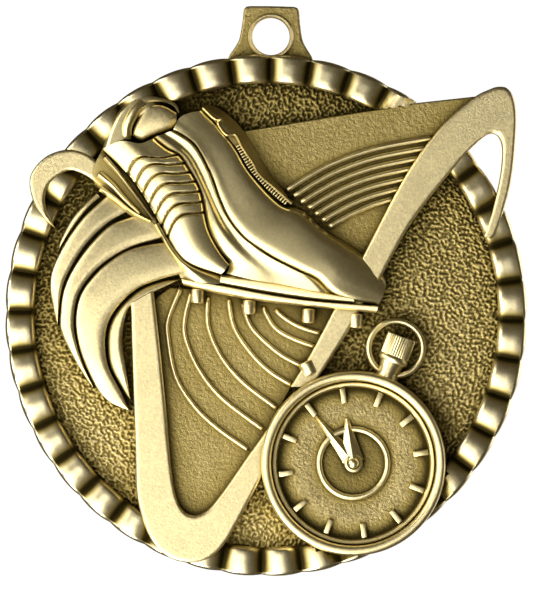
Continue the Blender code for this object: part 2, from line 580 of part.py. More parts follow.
gold_field = make_material("antique_gold_dark", (0.22, 0.17, 0.05), 0.5)
gold_rim = make_material("antique_gold_brushed", (0.62, 0.52, 0.27), 0.3)
gold_sanded = make_material("antique_gold_sanded", (0.36, 0.30, 0.12), 0.45)
gold_band = make_material("antique_gold_satin", (0.80, 0.70, 0.42), 0.38)
gold_polished = make_material("antique_gold_polished", (0.86, 0.76, 0.48), 0.22)

RIM_SPACE_INNER = RIM_INNER - GAP
rim_space = slab("rim_space", circle((0, 0), RIM_OUTER + 0.3, 2 * ROUND_STEPS), SEAT - 1.0,
                 RIM_SEAT + GAP, None, [circle((0, 0), RIM_SPACE_INNER, 2 * ROUND_STEPS)])
build()
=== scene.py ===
"""The looks of a sports finisher medal, modelled and finished round its CAD frame.

The shapes are drawn with the medal lying face up, in millimetres from the disc's centre,
with heights above the flat back. STAND then sets each finished mesh upright in its place.
"""

import json
import math
from bisect import bisect_right

import bmesh
import bpy
from bpy.props import FloatProperty, FloatVectorProperty, IntProperty, PointerProperty
from mathutils import Matrix, Vector, noise


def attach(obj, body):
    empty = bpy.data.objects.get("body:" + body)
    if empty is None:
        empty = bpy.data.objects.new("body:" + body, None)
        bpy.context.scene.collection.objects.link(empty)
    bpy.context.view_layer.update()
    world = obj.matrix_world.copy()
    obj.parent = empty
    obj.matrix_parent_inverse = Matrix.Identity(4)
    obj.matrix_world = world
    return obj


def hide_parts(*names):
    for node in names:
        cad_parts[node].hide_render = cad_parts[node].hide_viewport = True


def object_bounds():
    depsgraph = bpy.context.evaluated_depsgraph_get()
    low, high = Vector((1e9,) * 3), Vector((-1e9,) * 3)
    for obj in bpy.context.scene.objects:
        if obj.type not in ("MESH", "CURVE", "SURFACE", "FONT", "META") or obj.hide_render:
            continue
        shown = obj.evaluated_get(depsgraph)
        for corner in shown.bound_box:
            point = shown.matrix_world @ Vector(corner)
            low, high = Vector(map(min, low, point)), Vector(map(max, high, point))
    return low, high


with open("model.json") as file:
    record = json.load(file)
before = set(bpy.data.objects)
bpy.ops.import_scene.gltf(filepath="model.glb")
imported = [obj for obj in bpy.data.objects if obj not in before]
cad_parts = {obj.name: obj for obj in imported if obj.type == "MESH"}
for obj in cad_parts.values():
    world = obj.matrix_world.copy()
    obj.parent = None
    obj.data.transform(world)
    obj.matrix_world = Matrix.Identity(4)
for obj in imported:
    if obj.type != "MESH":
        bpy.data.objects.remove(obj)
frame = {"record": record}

bl_info = {
    "name": "Finisher Medal",
    "version": (1, 0, 0),
    "blender": (4, 5, 0),
    "location": "View3D > Sidebar > Medal",
    "description": "Models and finishes a cast sports finisher medal, element by element",
    "category": "Add Mesh",
}

CAD_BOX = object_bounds()
BACK = next(m for m in frame["record"]["mounts"] if m["name"] == "back_face")["pos_m"]
LOOP = next(m for m in frame["record"]["mounts"] if m["name"] == "ribbon_loop")["pos_m"]
DARK, BRUSHED, SANDED, SATIN, POLISHED = (
    "antique_gold_dark", "antique_gold_brushed", "antique_gold_sanded", "antique_gold_satin",
    "antique_gold_polished")
MM = 0.001
SAME_PLACE = 0.012  # points of a sheet closer than this are one
STAND = (Matrix.Translation(BACK) @ Matrix.Rotation(math.radians(90), 4, "X")
         @ Matrix.Scale(MM, 4))

# Heights above the back, in millimetres
SEAT = 1.3
FIELD = 1.6
TAB = 2.0
PANEL = 2.3
LANE = 2.65
BAND = 3.4
DIAL = 3.1
WATCH = 4.2

# Rim and loop
DISC_RADIUS = 25.3
RIM_INNER = 22.55
LOOP_CENTRE = ((LOOP[0] - BACK[0]) / MM, (LOOP[2] - BACK[2]) / MM)
LOOP_HOLE_RADIUS = 1.82
LOOP_SIDE = [(4.2, 24.3), (4.08, 25.2), (3.2, 26.6), (2.95, 27.6), (2.78, 28.8), (2.68, 29.8),
             (2.35, 30.12)]
LOOP_OUTLINE = [*LOOP_SIDE, (0, 30.15), *[(-x, y) for x, y in reversed(LOOP_SIDE)]]

# Lines of the running track
UPPER_PANEL = [(-3.5, 17.72), (14.3, 20.95), (20.15, 21.7), (17.0, 16.0), (11.0, 5.0),
               (3.0, 9.0), (-2.5, 14.0)]
LOWER_PANEL = [(-9.4, 2.6), (-11.0, 1.4), (-10.5, -4.0), (-9.8, -10.0), (-9.2, -15.6),
               (-8.5, -18.6), (-6.8, -20.0), (-4.9, -19.2), (-1.0, -13.8), (2.6, -7.0),
               (7.6, 1.5)]
UPPER_LANE_TOP = [(1.6, 12.1), (5.8, 14.7), (10.3, 16.4), (16.0, 17.6)]
UPPER_LANE_LOW = [(5.8, 8.6), (8.0, 9.9), (10.1, 10.9), (12.3, 11.6)]
LOWER_LANES = [
    [(-8.3, 2.6), (-9.5, -0.5), (-9.5, -2.4), (-8.7, -6.1), (-6.8, -9.0), (-4.5, -11.1),
     (-1.4, -13.2)],
    [(-7.3, 2.2), (-7.9, -0.4), (-7.8, -2.4), (-6.5, -5.3), (-4.2, -8.1), (0.0, -11.2)],
    [(-5.7, 1.8), (-5.6, -1.2), (-4.3, -4.1), (-2.1, -6.6), (1.3, -9.1)],
    [(-3.7, 1.6), (-3.1, -1.2), (-1.4, -3.7), (0.5, -5.5), (2.7, -6.8)],
    [(-2.3, 1.2), (-1.4, -1.2), (1.2, -3.6), (3.6, -4.9)],
    [(-0.4, 0.9), (0.8, -1.1), (2.6, -2.2), (4.9, -3.0)],
    [(0.8, 0.6), (1.9, -0.3), (3.4, -1.1), (5.4, -1.7)],
]

# The folded band: each stretch by its outer and its inner edge
BANDS = {
    "band_left": (
        [(-13.2, 0.9), (-12.9, -5.5), (-12.5, -13.0), (-12.3, -17.4), (-11.7, -20.0),
         (-10.6, -22.4), (-8.9, -23.8), (-6.7, -24.2), (-4.9, -23.6), (-3.5, -22.1),
         (-2.0, -19.4), (0.3, -14.9), (1.6, -12.5)],
        [(-11.0, 2.2), (-10.2, -4.0), (-9.5, -10.0), (-8.9, -15.6), (-8.4, -18.0),
         (-7.7, -19.2), (-6.8, -19.6), (-5.9, -19.4), (-5.0, -18.7), (-3.5, -16.7),
         (-1.5, -13.7), (0.8, -10.4)]),
    "band_middle": (
        [(7.3, 2.1), (6.4, 0.3), (4.6, -3.3), (2.5, -6.9)],
        [(9.6, 1.5), (8.2, -1.1), (5.6, -5.4), (4.7, -6.9)]),
    "band_upper": (
        [(9.1, 5.5), (12.4, 12.06), (14.1, 15.05), (15.8, 17.5), (17.5, 19.5), (19.9, 21.6),
         (21.3, 22.35), (22.2, 22.65), (23.1, 22.5), (23.8, 21.4), (24.05, 19.0),
         (23.7, 14.0), (22.9, 10.4), (22.2, 8.3), (21.7, 7.85)],
        [(11.0, 3.6), (13.2, 7.9), (15.0, 10.7), (17.6, 14.1), (19.3, 16.2), (21.0, 17.8),
         (21.9, 18.05), (22.5, 17.5), (22.75, 16.2), (22.5, 13.5), (21.7, 10.0),
         (21.05, 8.1)]),
    "band_scroll": (
        [(-15.9, 13.6), (-16.5, 14.5), (-17.9, 15.5), (-19.7, 15.8), (-21.8, 15.0),
         (-23.2, 13.1), (-22.9, 10.8), (-21.9, 9.2), (-20.6, 8.0)],
        [(-16.0, 11.9), (-16.8, 12.6), (-18.0, 13.4), (-19.5, 13.75), (-21.1, 12.7),
         (-21.7, 11.3), (-21.5, 9.8), (-20.6, 8.0)]),
}

# Swirls: the outer edge, the inner edge, and the height of the crest
SWIRLS = {
    "swirl_edge": (
        [(-16.7, 11.6), (-17.9, 10.5), (-19.2, 8.9), (-20.2, 6.8), (-20.3, 6.0)],
        [(-16.4, 11.2), (-17.2, 10.5), (-18.3, 9.2), (-19.7, 7.1), (-20.3, 6.0)],
        3.0),
    "swirl_outer": (
        [(-15.6, 11.5), (-16.2, 10.9), (-17.8, 9.4), (-19.2, 7.5), (-20.4, 5.3), (-21.0, 3.6),
         (-21.05, 2.0), (-20.7, 0.2), (-20.3, -1.4)],
        [(-13.0, 10.2), (-13.9, 9.7), (-15.5, 8.75), (-17.4, 6.9), (-18.9, 4.6), (-19.9, 2.3),
         (-20.2, 0.0), (-20.3, -1.4)],
        3.4),
    "swirl_middle": (
        [(-12.5, 9.9), (-13.4, 9.35), (-15.4, 8.45), (-17.2, 6.65), (-18.75, 4.4), (-19.7, 2.2),
         (-20.0, -0.1), (-19.9, -2.0), (-18.6, -4.6), (-17.3, -6.6), (-16.7, -7.3)],
        [(-9.7, 7.5), (-10.8, 7.2), (-13.3, 6.4), (-15.5, 5.1), (-17.1, 3.6), (-18.3, 1.7),
         (-18.7, -0.7), (-18.4, -3.0), (-17.7, -5.2), (-16.7, -7.3)],
        3.7),
    "swirl_inner": (
        [(-8.9, 7.0), (-9.8, 7.0), (-13.2, 6.25), (-15.4, 4.95), (-16.95, 3.45), (-18.15, 1.6),
         (-18.55, -0.7), (-18.25, -3.0), (-17.5, -5.15), (-16.25, -7.5), (-15.0, -8.75),
         (-13.2, -9.5)],
        [(-7.8, 4.0), (-8.6, 3.85), (-10.6, 3.25), (-12.5, 2.45), (-14.2, 0.95), (-15.35, -0.9),
         (-15.65, -2.9), (-15.3, -5.3), (-14.1, -7.6), (-13.2, -9.5)],
        3.9),
    "swirl_lower": (
        [(-8.4, 3.45), (-10.45, 3.1), (-12.4, 2.25), (-14.1, 0.7), (-15.15, -1.0),
         (-15.45, -2.9), (-15.15, -5.25), (-13.85, -7.5), (-13.1, -8.5)],
        [(-8.8, 3.2), (-11.1, 2.0), (-12.9, 0.9), (-13.6, 0.0), (-14.0, -2.6), (-13.6, -5.2),
         (-13.1, -8.3)],
        3.3),
}

# Lines of the shoe
COLLAR_LINE = [(-16.2, 15.9), (-14.4, 16.7), (-12.5, 16.5), (-11.2, 17.1)]
STRAP_LINE = [(-11.2, 17.1), (-9.9, 16.1), (-8.7, 15.5), (-7.7, 14.1), (-6.9, 12.8), (-6.4, 11.4),
              (-5.8, 8.4), (-4.7, 6.2), (-3.7, 4.9)]
HEEL_LINE = [(-16.2, 15.9), (-14.5, 14.3), (-13.0, 12.7), (-11.4, 10.3), (-10.4, 8.6),
             (-8.8, 6.0), (-7.3, 4.8), (-4.5, 3.9)]
VAMP_LINE = [(-9.4, 17.8), (-8.2, 17.2), (-7.0, 16.2), (-5.6, 13.6), (-4.7, 11.2), (-3.8, 9.3),
             (-2.4, 7.6), (-0.9, 6.5), (1.0, 5.4), (3.2, 4.4), (4.9, 3.6), (6.4, 2.2)]
TONGUE_TOP = [(-9.4, 17.8), (-8.7, 19.1), (-7.6, 19.6), (-6.4, 19.8)]
LACE_LINE = [(-6.4, 19.8), (-4.9, 18.3), (-3.1, 16.1), (-2.0, 14.3), (-0.7, 12.8), (0.4, 11.7),
             (1.6, 10.8)]
LACE_RIDGE = [(-6.5, 20.1), (-5.3, 19.0), (-4.6, 19.0), (-5.0, 18.6), (-4.2, 17.5), (-3.3, 17.5),
              (-2.6, 16.3), (-1.5, 14.7), (-1.1, 13.9), (-0.4, 13.2), (0.6, 12.4), (1.5, 11.6),
              (2.3, 10.9)]
FAR_EDGE = [(-6.4, 20.3), (-5.4, 20.3), (-3.6, 19.1), (-1.9, 17.1), (0.0, 14.0), (2.0, 11.8)]
SOLE_TOP = [(-8.3, 3.4), (-4.6, 2.9), (-0.1, 2.1), (4.4, 1.5), (10.9, 1.1)]
SOLE_LOW = [(-8.1, 2.8), (-4.6, 2.0), (-0.1, 1.3), (4.4, 0.9), (10.7, 0.4)]
SIDE_GROOVES = 7
# Each ridge's line and its width
HEEL_RIDGES = {
    "heel_ridge_upper": ([(-15.95, 15.1), (-14.7, 13.7), (-12.8, 11.3), (-11.2, 9.2)], 0.75),
    "heel_ridge_middle": ([(-16.5, 13.45), (-15.2, 12.4), (-13.9, 11.0), (-12.5, 9.7)], 1.05),
    "heel_ridge_lower": ([(-16.3, 12.1), (-15.0, 11.2), (-13.3, 9.9), (-11.4, 8.95)], 0.7),
}
# Where each stud leaves the sole
STUDS = [(-6.7, 2.5), (-1.65, 1.5), (4.15, 0.75), (8.8, 0.35)]

# Stopwatch
WATCH_CENTRE = (8.75, -14.25)
MARK_TILT = math.radians(9.5)
MARKS = 12
CROWN_DIRECTION = math.radians(70.0)
KNURLS = 36
BOW_CENTRE = (12.7, -3.0)
PUSHER = (4.25, -5.15)


# Lines and places

def smooth(points, steps=12):
    """An open run of points on a Catmull-Rom curve through the given ones."""
    ends = [points[0], *points, points[-1]]
    run = []
    for a, b, c, d in zip(ends, ends[1:], ends[2:], ends[3:]):
        for step in range(steps):
            t = step / steps
            run.append(tuple(
                0.5 * (2 * q + (r - p) * t + (2 * p - 5 * q + 4 * r - s) * t * t
                       + (3 * q - p - 3 * r + s) * t ** 3)
                for p, q, r, s in zip(a, b, c, d)))
    return [*run, points[-1]]


def smooth_loop(points, corners, steps):
    """A closed run that is smooth between its corners, which are given by their numbers."""
    run = []
    for first, last in zip(corners, [*corners[1:], corners[0] + len(points)]):
        run += smooth([points[i % len(points)] for i in range(first, last + 1)], steps)[:-1]
    return run


class Rail:
    """A smooth line through points, which gives the place at a share of its length."""

    def __init__(self, points):
        self.run = [Vector(p) for p in smooth(points)]
        self.marks = [0.0]
        for a, b in zip(self.run, self.run[1:]):
            self.marks.append(self.marks[-1] + (b - a).length)
        self.length = self.marks[-1]

    def at(self, share):
        """The place at a share of the length."""
        far = min(max(share, 0), 1) * self.length
        i = min(max(bisect_right(self.marks, far), 1), len(self.marks) - 1)
        span = max(self.marks[i] - self.marks[i - 1], 1e-9)
        return self.run[i - 1].lerp(self.run[i], (far - self.marks[i - 1]) / span)

    def side(self, share):
        """The unit vector to the left of the line."""
        ahead = self.at(share + 0.01) - self.at(share - 0.01)
        return Vector((-ahead.y, ahead.x)).normalized()


def eased(stops, place):
    """The value at a place on a smooth line through (place, value) stops, never past them."""
    if place <= stops[0][0]:
        return stops[0][1]
    if place >= stops[-1][0]:
        return stops[-1][1]
    i = next(n for n, stop in enumerate(stops) if stop[0] >= place)
    slopes = [(b[1] - a[1]) / (b[0] - a[0]) for a, b in zip(stops, stops[1:])]

    def slope(n):
        if n in (0, len(stops) - 1):
            return slopes[min(n, len(slopes) - 1)]
        before, after = slopes[n - 1], slopes[n]
        return 0.0 if before * after <= 0 else 2 * before * after / (before + after)

    (x, low), (far, high) = stops[i - 1], stops[i]
    span = far - x
    t = (place - x) / span
    return ((2 * t ** 3 - 3 * t * t + 1) * low + (t ** 3 - 2 * t * t + t) * span * slope(i - 1)
            + (3 * t * t - 2 * t ** 3) * high + (t ** 3 - t * t) * span * slope(i))


def relief(rows):
    """A height over a patch from rows of heights, each (place across, stops along)."""
    columns = {}

    def height(u, w):
        if u not in columns:
            columns[u] = [(place, eased(stops, u)) for place, stops in rows]
        return eased(columns[u], w)
    return height


def arc(centre, radius, start, end, count):
    """Points round a centre from one angle to another."""
    return [(centre[0] + radius * math.cos(start + (end - start) * i / count),
             centre[1] + radius * math.sin(start + (end - start) * i / count))
            for i in range(count + 1)]


def within(outline, place):
    """Whether a place lies inside an outline."""
    inside = False
    for a, b in zip(outline, outline[1:] + outline[:1]):
        if (a[1] > place.y) != (b[1] > place.y):
            across = a[0] + (place.y - a[1]) / (b[1] - a[1]) * (b[0] - a[0])
            inside ^= place.x < across
    return inside


def lying_at(place, direction, height):
    """Sets a part modelled along +X at a place on the disc, turned to a direction."""
    return Matrix.Translation((*place, height)) @ Matrix.Rotation(direction, 4, "Z")


# Shapes, each a bmesh in the lying frame

def moved(bm, matrix):
    """The same bmesh after a move."""
    bmesh.ops.transform(bm, verts=bm.verts, matrix=matrix)
    return bm


def verts_in(geometry):
    """The vertices among what an operator made."""
    return [item for item in geometry if isinstance(item, bmesh.types.BMVert)]


def close_below(bm, low):
    """Walls down from an open sheet's edge to a height, and the face that closes them."""
    edge = [e for e in bm.edges if e.is_boundary]
    made = bmesh.ops.extrude_edge_only(bm, edges=edge)["geom"]
    for vert in verts_in(made):
        vert.co.z = low
    bmesh.ops.contextual_create(bm, geom=[e for e in bm.edges if e.is_boundary])


def crowded(t):
    """Rows of a patch set closer together towards its two sides."""
    return (1 - math.cos(math.pi * t)) / 2


def sheet(place, height, along, across, low):
    """A solid down from a sheet with its points at place(u, w) and height(u, w)."""
    bm = bmesh.new()
    bmesh.ops.create_grid(bm, x_segments=along, y_segments=across, size=0.5)
    for vert in bm.verts:
        u, w = round(vert.co.x + 0.5, 6), crowded(round(vert.co.y + 0.5, 6))
        vert.co = (*place(u, w), height(u, w))
    bmesh.ops.remove_doubles(bm, verts=bm.verts, dist=SAME_PLACE)
    close_below(bm, low)
    return bm


def patch(near, far, height, along, across, start=None, end=None, low=SEAT):
    """A solid over the area between a near and a far line, its top at height(u, w)."""
    near, far = Rail(near), Rail(far)
    start = Rail(start or [near.at(0), far.at(0)])
    end = Rail(end or [near.at(1), far.at(1)])

    def place(u, w):
        return (near.at(u) * (1 - w) + far.at(u) * w + start.at(w) * (1 - u) + end.at(w) * u
                - (near.at(0) * (1 - w) + far.at(0) * w) * (1 - u)
                - (near.at(1) * (1 - w) + far.at(1) * w) * u)
    return sheet(place, height, along, across, low)


def ribbon(line, width, height, along, across, low=SEAT):
    """A solid along a line, width(u) wide, its top at height(u, w)."""
    rail = Rail(line)
    return sheet(lambda u, w: rail.at(u) + rail.side(u) * (w - 0.5) * width(u),
                 height, along, across, low)


def slab(outline, low, high, bevel):
    """A flat outline between two heights with a rounded upper edge."""
    bm = bmesh.new()
    base = bm.faces.new([bm.verts.new((x, y, low)) for x, y in outline])
    base.normal_update()
    if base.normal.z > 0:
        base.normal_flip()
    made = bmesh.ops.extrude_face_region(bm, geom=[base], use_keep_orig=True)["geom"]
    bmesh.ops.translate(bm, verts=verts_in(made), vec=(0, 0, high - low))
    round_over(bm, high, bevel)
    return bm


def round_over(bm, high, bevel):
    """Rounds the edges that lie at a height, and keeps the face within them flat."""
    edges = [e for e in bm.edges if all(abs(v.co.z - high) < 1e-5 for v in e.verts)
             and not all(abs(f.normal.z) > 0.9 for f in e.link_faces)]
    bmesh.ops.bevel(bm, geom=edges, offset=bevel, offset_type="OFFSET", segments=4,
                    profile=0.5, affect="EDGES", clamp_overlap=False, material=-1)
    top = [f for f in bm.faces if all(abs(v.co.z - high) < 1e-5 for v in f.verts)]
    bmesh.ops.inset_region(bm, faces=top, thickness=0.03, use_even_offset=True)


def spun(profile, centre=(0, 0), steps=96, closed=True):
    """A round solid from a profile of (radius, height) points."""
    bm = bmesh.new()
    verts = [bm.verts.new((r, 0, h)) for r, h in profile]
    pairs = list(zip(verts, verts[1:])) + ([(verts[-1], verts[0])] if closed else [])
    edges = [bm.edges.new(pair) for pair in pairs]
    bmesh.ops.spin(bm, geom=verts + edges, cent=(0, 0, 0), axis=(0, 0, 1), angle=math.tau,
                   steps=steps, use_merge=True)
    bmesh.ops.remove_doubles(bm, verts=bm.verts, dist=1e-4)
    bmesh.ops.translate(bm, verts=bm.verts, vec=(*centre, 0))
    return bm


def rod(radius, length, bevel, segments):
    """A round bar along +X from the origin, with rounded ends."""
    bm = bmesh.new()
    bmesh.ops.create_cone(bm, cap_ends=True, segments=segments, radius1=radius, radius2=radius,
                          depth=length)
    ends = [e for e in bm.edges if any(len(f.verts) > 4 for f in e.link_faces)]
    bmesh.ops.bevel(bm, geom=ends, offset=bevel, offset_type="OFFSET", segments=3, profile=0.5,
                    affect="EDGES", clamp_overlap=True, material=-1)
    return moved(bm, Matrix.Rotation(math.radians(90), 4, "Y")
                 @ Matrix.Translation((0, 0, length / 2)))


def merged(*parts):
    """One bmesh of several solids."""
    whole = parts[0]
    for part in parts[1:]:
        mesh = bpy.data.meshes.new("part")
        part.to_mesh(mesh)
        part.free()
        whole.from_mesh(mesh)
        bpy.data.meshes.remove(mesh)
    return whole


def mark_bends(bm):
    """Marks every point as a hollow (above 0) or a crest (below 0) by how its surface bends."""
    reach, passes, least_square = 0.16, 3, 0.02
    recess_and_shade = bm.verts.layers.float.new("recess_and_shade")
    bm.normal_update()
    for vert in bm.verts:
        bend = 0.0
        for edge in vert.link_edges:
            way = edge.other_vert(vert).co - vert.co
            bend += 2 * vert.normal.dot(way) / max(way.length_squared, least_square)
        vert[recess_and_shade] = min(max(reach * bend / max(len(vert.link_edges), 1), -1), 1)
    for _ in range(passes):
        spread = [sum(e.other_vert(v)[recess_and_shade] for e in v.link_edges) / max(len(v.link_edges), 1)
                  for v in bm.verts]
        for vert, around in zip(bm.verts, spread):
            vert[recess_and_shade] = (vert[recess_and_shade] + around) / 2


def placed(name, data):
    """A new object in the scene."""
    obj = bpy.data.objects.new(name, data)
    bpy.context.scene.collection.objects.link(obj)
    return obj


def cast(bm, node, finish, crease=38, name=None):
    """Makes a finished piece of the medal from a bmesh and sets it in place of a CAD node."""
    bmesh.ops.recalc_face_normals(bm, faces=bm.faces)
    for face in bm.faces:
        face.smooth = True
    if not bm.verts.layers.float.get("recess_and_shade"):
        mark_bends(bm)
    moved(bm, STAND)
    name = name or node + "_cast"
    mesh = bpy.data.meshes.new(name)
    bm.to_mesh(mesh)
    bm.free()
    mesh.set_sharp_from_angle(angle=math.radians(crease))
    obj = placed(name, mesh)
    mesh.materials.append(metal(finish))
    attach(obj, "root")
    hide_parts(node)


# Materials

class Graph:
    """Adds nodes to a node tree and links their sockets."""

    def __init__(self, tree):
        self.tree = tree

    def node(self, kind, inputs=None, **settings):
        """A node with its settings, each input linked to a socket or set to a value."""
        made = self.tree.nodes.new(kind)
        for key, value in settings.items():
            setattr(made, key, value)
        for key, value in (inputs or {}).items():
            if isinstance(value, bpy.types.NodeSocket):
                self.tree.links.new(value, made.inputs[key])
            else:
                made.inputs[key].default_value = value
        return made

    def math(self, operation, *values, clamp=False):
        return self.node("ShaderNodeMath", dict(enumerate(values)), operation=operation,
                         use_clamp=clamp).outputs[0]

    def blend(self, factor, first, second):
        """The colour between two, from the first at 0 to the second at 1."""
        return self.node("ShaderNodeMix", {0: factor, 6: first, 7: second},
                         data_type="RGBA").outputs[2]

    def ramp(self, value, low, high):
        """A soft step from 0 to 1 between two values."""
        return self.node("ShaderNodeMapRange", {"Value": value, "From Min": low,
                                                "From Max": high},
                         interpolation_type="SMOOTHSTEP").outputs[0]


def group(name, inputs, outputs):
    """A new node group; gives its graph, its given sockets and its output node."""
    tree = bpy.data.node_groups.new(name, "ShaderNodeTree")
    for label, value in inputs:
        socket = tree.interface.new_socket(label, in_out="INPUT", socket_type="NodeSocketFloat")
        socket.default_value = value
    for label in outputs:
        tree.interface.new_socket(label, in_out="OUTPUT", socket_type="NodeSocketFloat")
    graph = Graph(tree)
    given = graph.node("NodeGroupInput").outputs
    return graph, given, graph.node("NodeGroupOutput")


def patina_and_shade_group():
    """How far the metal shows worn bright and unshaded: 0 in the crevices where patina stays and in
    painted shade round and between raised parts, 1 on the open heights.
    """
    name = "medal_patina_and_shade"
    if name in bpy.data.node_groups:
        return bpy.data.node_groups[name]
    graph, given, result = group(name, [("Reach", 0.0008), ("Dirt_and_shade", 0.35), ("Clean_and_unshaded", 0.85),
                                        ("Blotch", 0.12)], ["Rubbed", "Tone"])
    coords = graph.node("ShaderNodeTexCoord").outputs["Object"]
    # Ambient occlusion, from neighbouring pieces too: patina in the hollows plus painted shade
    # round raised parts
    hollow = graph.node("ShaderNodeAmbientOcclusion", {"Distance": given["Reach"]}, samples=12)
    # The per-point mark adds patina in bends, and painted shade and sheen on the ground and the
    # dial
    recess_and_shade = graph.node("ShaderNodeAttribute", attribute_name="recess_and_shade").outputs["Fac"]
    open_sky = graph.math("SUBTRACT", hollow.outputs["AO"], recess_and_shade)
    cloud = graph.node("ShaderNodeTexNoise", {"Vector": coords, "Scale": 260.0, "Detail": 4.0,
                                              "Roughness": 0.6}).outputs["Fac"]
    shift = graph.math("MULTIPLY", graph.math("SUBTRACT", cloud, 0.5), given["Blotch"])
    rubbed_and_unshaded = graph.node("ShaderNodeMapRange", {
        "Value": graph.math("ADD", open_sky, shift), "From Min": given["Dirt_and_shade"],
        "From Max": given["Clean_and_unshaded"]}).outputs[0]
    graph.tree.links.new(rubbed_and_unshaded, result.inputs["Rubbed"])
    fine = graph.node("ShaderNodeTexNoise", {"Vector": coords, "Scale": 3600.0, "Detail": 2.0,
                                             "Roughness": 0.55}).outputs["Fac"]
    tone = graph.math("ADD", graph.math("MULTIPLY", cloud, 0.3), graph.math("MULTIPLY", fine, 0.7))
    graph.tree.links.new(tone, result.inputs["Tone"])
    return graph.tree


def grain_group():
    """Height of a sandblasted grain and of fine scratches left by the brush."""
    name = "medal_grain"
    if name in bpy.data.node_groups:
        return bpy.data.node_groups[name]
    graph, given, result = group(name, [("Grain", 3500.0), ("Sand", 1.0), ("Brush", 0.0)],
                                 ["Height"])
    coords = graph.node("ShaderNodeTexCoord").outputs["Object"]
    sand = graph.node("ShaderNodeTexNoise", {"Vector": coords, "Scale": given["Grain"],
                                             "Detail": 3.0, "Roughness": 0.65}).outputs["Fac"]
    split = graph.node("ShaderNodeSeparateXYZ", {"Vector": coords}).outputs
    up = graph.math("SUBTRACT", split["Z"], BACK[2])
    radius = graph.math("SQRT", graph.math(
        "ADD", graph.math("MULTIPLY", split["X"], split["X"]), graph.math("MULTIPLY", up, up)))
    turn = graph.math("ARCTAN2", up, split["X"])
    lines = graph.node("ShaderNodeCombineXYZ", {
        "X": graph.math("MULTIPLY", radius, 5200.0), "Y": graph.math("MULTIPLY", turn, 9.0),
        "Z": graph.math("MULTIPLY", split["Y"], 1200.0)})
    brush = graph.node("ShaderNodeTexNoise", {"Vector": lines.outputs[0], "Scale": 1.0,
                                              "Detail": 2.0}).outputs["Fac"]
    height = graph.math("ADD", graph.math("MULTIPLY", sand, given["Sand"]),
                        graph.math("MULTIPLY", brush, given["Brush"]))
    graph.tree.links.new(height, result.inputs["Height"])
    return graph.tree


PATINA_ROUGHNESS = 0.62

# Each finish: colour and roughness where it is worn bright; scale of the grain, share of sand and
# of brush lines in it, and strength of its bump; reach in metres of the patina and of the painted
# shade round raised parts; the shares of open sky where it is full and where it ends; darkness of
# specks
METALS = {
    DARK: ((0.82, 0.68, 0.34), 0.42, 3000.0, 1.0, 0.0, 0.5, 0.0030, 0.28, 1.60, 0.80),
    BRUSHED: ((0.99, 0.88, 0.56), 0.30, 3000.0, 0.3, 1.0, 0.06, 0.0014, 0.30, 1.10, 0.90),
    SANDED: ((0.75, 0.61, 0.30), 0.44, 3400.0, 1.0, 0.0, 1.45, 0.0026, 0.35, 1.50, 0.50),
    SATIN: ((0.96, 0.82, 0.45), 0.38, 4200.0, 0.8, 0.0, 0.4, 0.0010, 0.26, 0.90, 0.84),
    POLISHED: ((0.97, 0.84, 0.46), 0.34, 2200.0, 0.5, 0.0, 0.12, 0.0012, 0.20, 0.85, 0.93),
}


def metal(finish):
    """The antique gold material of one finish."""
    name = "medal_" + finish
    if name in bpy.data.materials:
        return bpy.data.materials[name]
    look = bpy.context.scene.medal_finish
    colour, rough, grain, sand, brush, bump, reach, dirt_and_shade, clean_and_unshaded, speck = METALS[finish]
    material = bpy.data.materials.new(name)
    material.use_nodes = True
    graph = Graph(material.node_tree)
    shader = material.node_tree.nodes["Principled BSDF"]
    patina = graph.node("ShaderNodeGroup", {"Reach": reach, "Dirt_and_shade": dirt_and_shade, "Clean_and_unshaded": clean_and_unshaded},
                        node_tree=patina_and_shade_group())
    texture = graph.node("ShaderNodeGroup", {"Grain": grain, "Sand": sand, "Brush": brush},
                         node_tree=grain_group())
    rubbed_and_unshaded, tone = patina.outputs["Rubbed"], patina.outputs["Tone"]
    worn = graph.blend(graph.ramp(tone, 0.40, 0.62), (*[c * speck for c in colour], 1),
                       (*colour, 1))
    # Dark patina and tarnish colours where the mask is low: patina in the hollows, painted shade
    # round raised parts
    film_and_shade = graph.blend(graph.ramp(rubbed_and_unshaded, 0.0, 0.55), (*look.patina, 1), (*look.tarnish, 1))
    graph.tree.links.new(graph.blend(graph.ramp(rubbed_and_unshaded, 0.35, 1.0), film_and_shade, worn),
                         shader.inputs["Base Color"])
    roughness = graph.math("SUBTRACT", PATINA_ROUGHNESS, graph.math(
        "MULTIPLY", rubbed_and_unshaded, PATINA_ROUGHNESS - rough))
    wander = graph.math("MULTIPLY", graph.math("SUBTRACT", tone, 0.5), 0.14)
    graph.tree.links.new(graph.math("ADD", roughness, wander, clamp=True),
                         shader.inputs["Roughness"])
    shader.inputs["Metallic"].default_value = 1.0
    relief_bump = graph.node("ShaderNodeBump", {"Height": texture.outputs["Height"],
                                                "Strength": bump, "Distance": 0.00006})
    graph.tree.links.new(relief_bump.outputs["Normal"], shader.inputs["Normal"])
    return material


# Settings

class MedalSizes(bpy.types.PropertyGroup):
    flutes: IntProperty(name="Flutes", description="Rounded flutes round the rim", default=40,
                        min=8, max=90)
    flute_rise: FloatProperty(name="Flute rise", description="Crest above crease, millimetres",
                              default=0.8, min=0.1, max=1.5)
    pebble: FloatProperty(name="Pebble size", description="Size of the ground's pebbles, mm",
                          default=0.27, min=0.15, max=2.0)
    pebble_depth: FloatProperty(name="Pebble depth", description="Depth of the pebbling, mm",
                                default=0.12, min=0.0, max=0.5)


